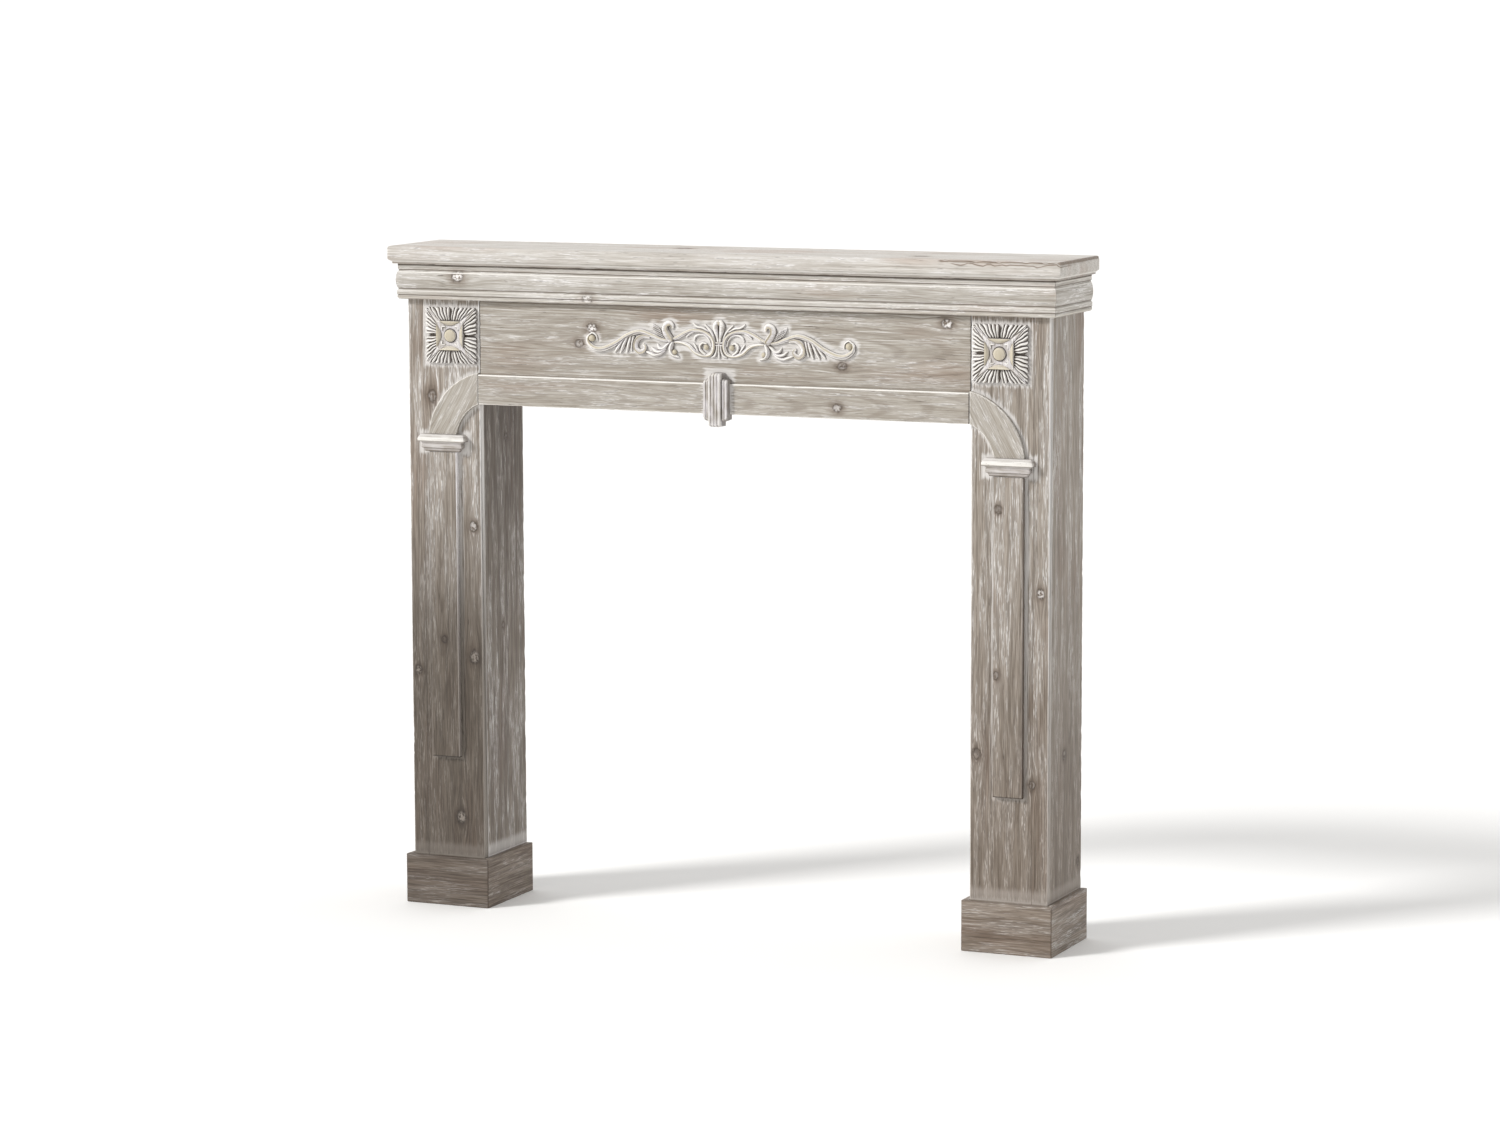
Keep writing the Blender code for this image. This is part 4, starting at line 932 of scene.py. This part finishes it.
class MANTEL_OT_columns(Operator):
    """Make the boards of both box columns and the raised panels on them"""

    bl_idname = "mantel.columns"
    bl_label = "Columns"

    def execute(self, context):
        seat = 10.0
        for side, sign in SIDES:
            low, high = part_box("pilaster_panel_" + side)
            # The panel's foot line is painted shadow under its foot
            panel_lines = ((ACROSS, high.x / MM, *PANEL_EDGES[side]), (UP, low.z / MM, 2.0, 0.9, JOINT_AND_SHADOW),
                           (ACROSS, low.x / MM, 0.8, 0.6, JOINT_AND_SHADOW))
            uprights = tuple((ACROSS, sign * across, *line) for across, *line in COLUMN_UPRIGHTS)
            fronts = [lambda x, z, node=part + side: outside_box(x, z, node)
                      for part in ("rosette_", "capital_", "pilaster_panel_", "plinth_front_")]
            fronts.append(outside_arc)
            for part, lies, tone, lines in (
                    ("column_front_", "upright", "column", COLUMN_LINES + uprights),
                    ("column_inner_side_", "upright_return", "shaded_recess", COLUMN_LINES),
                    ("column_outer_side_", "upright_return", "column", COLUMN_LINES),
                    ("pilaster_panel_", "upright", "column", panel_lines)):
                node = part + side
                seat += 1.37
                # Painted shade: the inner sides darken towards their top under the head, the other boards
                # towards their foot
                fade = SHADE_FADES["hidden" if tone == "shaded_recess" else side]
                material = limed_fir("Limed fir " + node.replace("_", " "), lies, tone, node, seat,
                                     fade, "#CFCBC8", 0.7, lines)
                if part == "column_front_":
                    bm = relief_board(node, fronts, seat)
                else:
                    bm = worn_board(cube_of(*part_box(node)), seat)
                finish_piece(node + "_worn", bm, material, [node])
        return {"FINISHED"}


class MANTEL_OT_plinths(Operator):
    """Make the mitred boards round the feet"""

    bl_idname = "mantel.plinths"
    bl_label = "Plinths"

    def execute(self, context):
        seat = 30.0
        for side, _ in SIDES:
            for part, lies in (("front", "across"), ("inner_side", "return"), ("outer_side", "return")):
                node = "plinth_" + part + "_" + side
                seat += 1.91
                # Painted shade over the whole board
                fade = (PLINTH_SHADES.get(part + "_" + side, "#FFFFFF"), 1.0, 0.9)
                material = limed_fir("Limed fir " + node.replace("_", " "), lies, "plinth", node, seat,
                                     fade, "#5F4F40", 0.55)
                finish_piece(node + "_worn", worn_board(frame_copy(node), seat), material, [node])
        return {"FINISHED"}


class MANTEL_OT_arcs(Operator):
    """Make the quarter-arc bands"""

    bl_idname = "mantel.arcs"
    bl_label = "Arc brackets"

    def execute(self, context):
        for side, sign in SIDES:
            node = "arc_bracket_" + side
            low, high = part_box(node)
            middle = (low + high) / 2
            half_x, half_z = (high.x - low.x) / MM / 2, (high.z - low.z) / MM / 2

            def form(x, z):
                ring = -outside_arc(x + middle.x / MM, z + middle.z / MM)
                inside = np.minimum(ring, np.minimum(half_x - np.abs(x), half_z - np.abs(z)))
                near = np.clip(1 - inside / 1.6, 0, 1)
                level = (high.y - low.y) / MM - 1.1 * near ** 2
                return inside, level, {"arris": np.clip(1 - inside / 3.2, 0, 1)}

            # The arcs' arrises are drawn near white: worn lime and painted highlight along the edges
            material = limed_fir("Limed fir arc " + side, "arc_" + side, "head", node, 50.0 + sign,
                                 arris="#EBE7E0", arris_share=0.85)
            finish_piece("arc_band_" + side, carve(form, low, high, 0.8 * MM), material, [node])
        return {"FINISHED"}


class MANTEL_OT_capitals(Operator):
    """Make the moulded caps over the pilasters"""

    bl_idname = "mantel.capitals"
    bl_label = "Capitals"

    def execute(self, context):
        for side, sign in SIDES:
            node = "capital_" + side
            low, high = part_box(node)
            bm = frame_copy(node)
            soften_copy(bm, 0.5 * MM, 0)
            wear(bm, bm.verts.layers.float["arris"], 0.5 * MM, 60.0 + sign)
            crest_layer = bm.verts.layers.float.new("crest")
            gold_layer = bm.verts.layers.float.new("gold")
            # Prouder parts of the cap mark higher, for more of the carving's crest colour, partly painted
            # highlight, and more ochre
            for vert in bm.verts:
                proud = (high.y - vert.co.y) / (high.y - low.y)
                vert[crest_layer] = 0.45 + 0.25 * max(0.0, proud - 0.6) / 0.4
                vert[gold_layer] = 0.45 * max(0.0, proud - 0.6) / 0.4
            material = limed_carving("Limed capital " + side, "across", sign, "#978E84", cover=0.55,
                                     lines=CAPITAL_LINES)
            finish_piece("capital_cap_" + side, bm, material, [node], 30.0)
        return {"FINISHED"}


class MANTEL_OT_carvings(Operator):
    """Carve the keystone, the two rosettes and the scroll"""

    bl_idname = "mantel.carvings"
    bl_label = "Carvings"

    def execute(self, context):
        def scroll(x, z):
            return scroll_form(x, z + SCROLL_MIDDLE)

        cell = context.scene.mantel_sizes.carving_cell
        for node, name, form, *looks in (
                ("keystone", "keystone_reeded", keystone_form, "upright", 4.0, "#968E84", 0.5),
                ("rosette_left", "rosette_carved_left", rosette_form, "upright", 6.0),
                ("rosette_right", "rosette_carved_right", rosette_form, "upright", 8.0),
                ("scroll_applique", "scroll_carved", scroll, "across", 9.0)):
            material = limed_carving("Limed " + node.replace("_", " "), *looks)
            finish_piece(name, carve(form, *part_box(node), cell), material, [node])
        return {"FINISHED"}


class MANTEL_OT_stage(Operator):
    """Set up the floor, the light and the camera"""

    bl_idname = "mantel.stage"
    bl_label = "Stage"

    def execute(self, context):
        scene = context.scene
        bm = bmesh.new()
        bmesh.ops.create_grid(bm, x_segments=1, y_segments=1, size=40.0)
        mesh = bpy.data.meshes.new("floor")
        bm.to_mesh(mesh)
        bm.free()
        paper = bpy.data.materials.new("White backdrop paper")
        paper.use_nodes = True
        paper_shader = paper.node_tree.nodes["Principled BSDF"]
        paper_shader.inputs["Base Color"].default_value = linear("#F6F5F3")
        paper_shader.inputs["Roughness"].default_value = 0.9
        mesh.materials.append(paper)
        floor = bpy.data.objects.new("floor", mesh)
        scene.collection.objects.link(floor)

        # The wall behind the piece is white and the room in front of it is dimmer
        world = bpy.data.worlds.new("Soft studio")
        world.use_nodes = True
        tree = world.node_tree
        way = add(tree, "TexCoord", out="Generated")
        behind = add(tree, "SeparateXYZ", {0: way}, "Y")
        level = add(tree, "MapRange", {0: behind, 1: -0.2, 2: 0.3, 3: 0.5, 4: 1.03}, **SOFT)
        tree.links.new(level, tree.nodes["Background"].inputs["Strength"])
        tree.nodes["Background"].inputs["Color"].default_value = linear("#FFFFFF")
        scene.world = world
        scene.view_settings.view_transform = "Standard"
        light = bpy.data.lights.new("key", "SUN")
        light.energy = 2.6
        light.angle = math.radians(14)
        lamp = bpy.data.objects.new("key", light)
        lamp.location = (-2.4, -2.6, 3.0)
        lamp.rotation_euler = (Vector((0.0, 0.0, 0.6)) - lamp.location).to_track_quat("-Z", "Y").to_euler()
        scene.collection.objects.link(lamp)

        camera_data = bpy.data.cameras.new("camera")
        camera_data.lens = 110.08
        camera_data.sensor_width = 36.0
        camera = bpy.data.objects.new("camera", camera_data)
        azimuth, elevation, roll = (math.radians(angle) for angle in (23.675, 7.517, -0.188))
        turn = (Matrix.Rotation(azimuth, 4, "Z") @ Matrix.Rotation(math.pi / 2 - elevation, 4, "X")
                @ Matrix.Rotation(roll, 4, "Z"))
        camera.matrix_world = Matrix.Translation((2.7985, -6.2718 + FACE, 1.4687)) @ turn
        scene.collection.objects.link(camera)
        scene.camera = camera
        return {"FINISHED"}


class MANTEL_PT_sidebar(Panel):
    """Lists the pieces"""

    bl_label = "Mantelpiece"
    bl_space_type = "VIEW_3D"
    bl_region_type = "UI"
    bl_category = "Mantelpiece"

    def draw(self, context):
        for maker in PIECES:
            self.layout.operator(maker.bl_idname)
        for group in (context.scene.mantel_sizes, context.scene.mantel_colours):
            for name in group.__annotations__:
                self.layout.prop(group, name)


PIECES = (MANTEL_OT_shelf, MANTEL_OT_crown, MANTEL_OT_frieze, MANTEL_OT_columns, MANTEL_OT_plinths,
          MANTEL_OT_arcs, MANTEL_OT_capitals, MANTEL_OT_carvings, MANTEL_OT_stage)
CLASSES = (MantelSizes, MantelColours, *PIECES, MANTEL_PT_sidebar)


def register():
    for item in CLASSES:
        bpy.utils.register_class(item)
    bpy.types.Scene.mantel_sizes = PointerProperty(type=MantelSizes)
    bpy.types.Scene.mantel_colours = PointerProperty(type=MantelColours)


def unregister():
    del bpy.types.Scene.mantel_sizes
    del bpy.types.Scene.mantel_colours
    for item in reversed(CLASSES):
        bpy.utils.unregister_class(item)


def main():
    register()
    bpy.ops.mantel.shelf()
    bpy.ops.mantel.crown()
    bpy.ops.mantel.frieze()
    bpy.ops.mantel.columns()
    bpy.ops.mantel.plinths()
    bpy.ops.mantel.arcs()
    bpy.ops.mantel.capitals()
    bpy.ops.mantel.carvings()
    bpy.ops.mantel.stage()


if __name__ == "__main__":
    main()
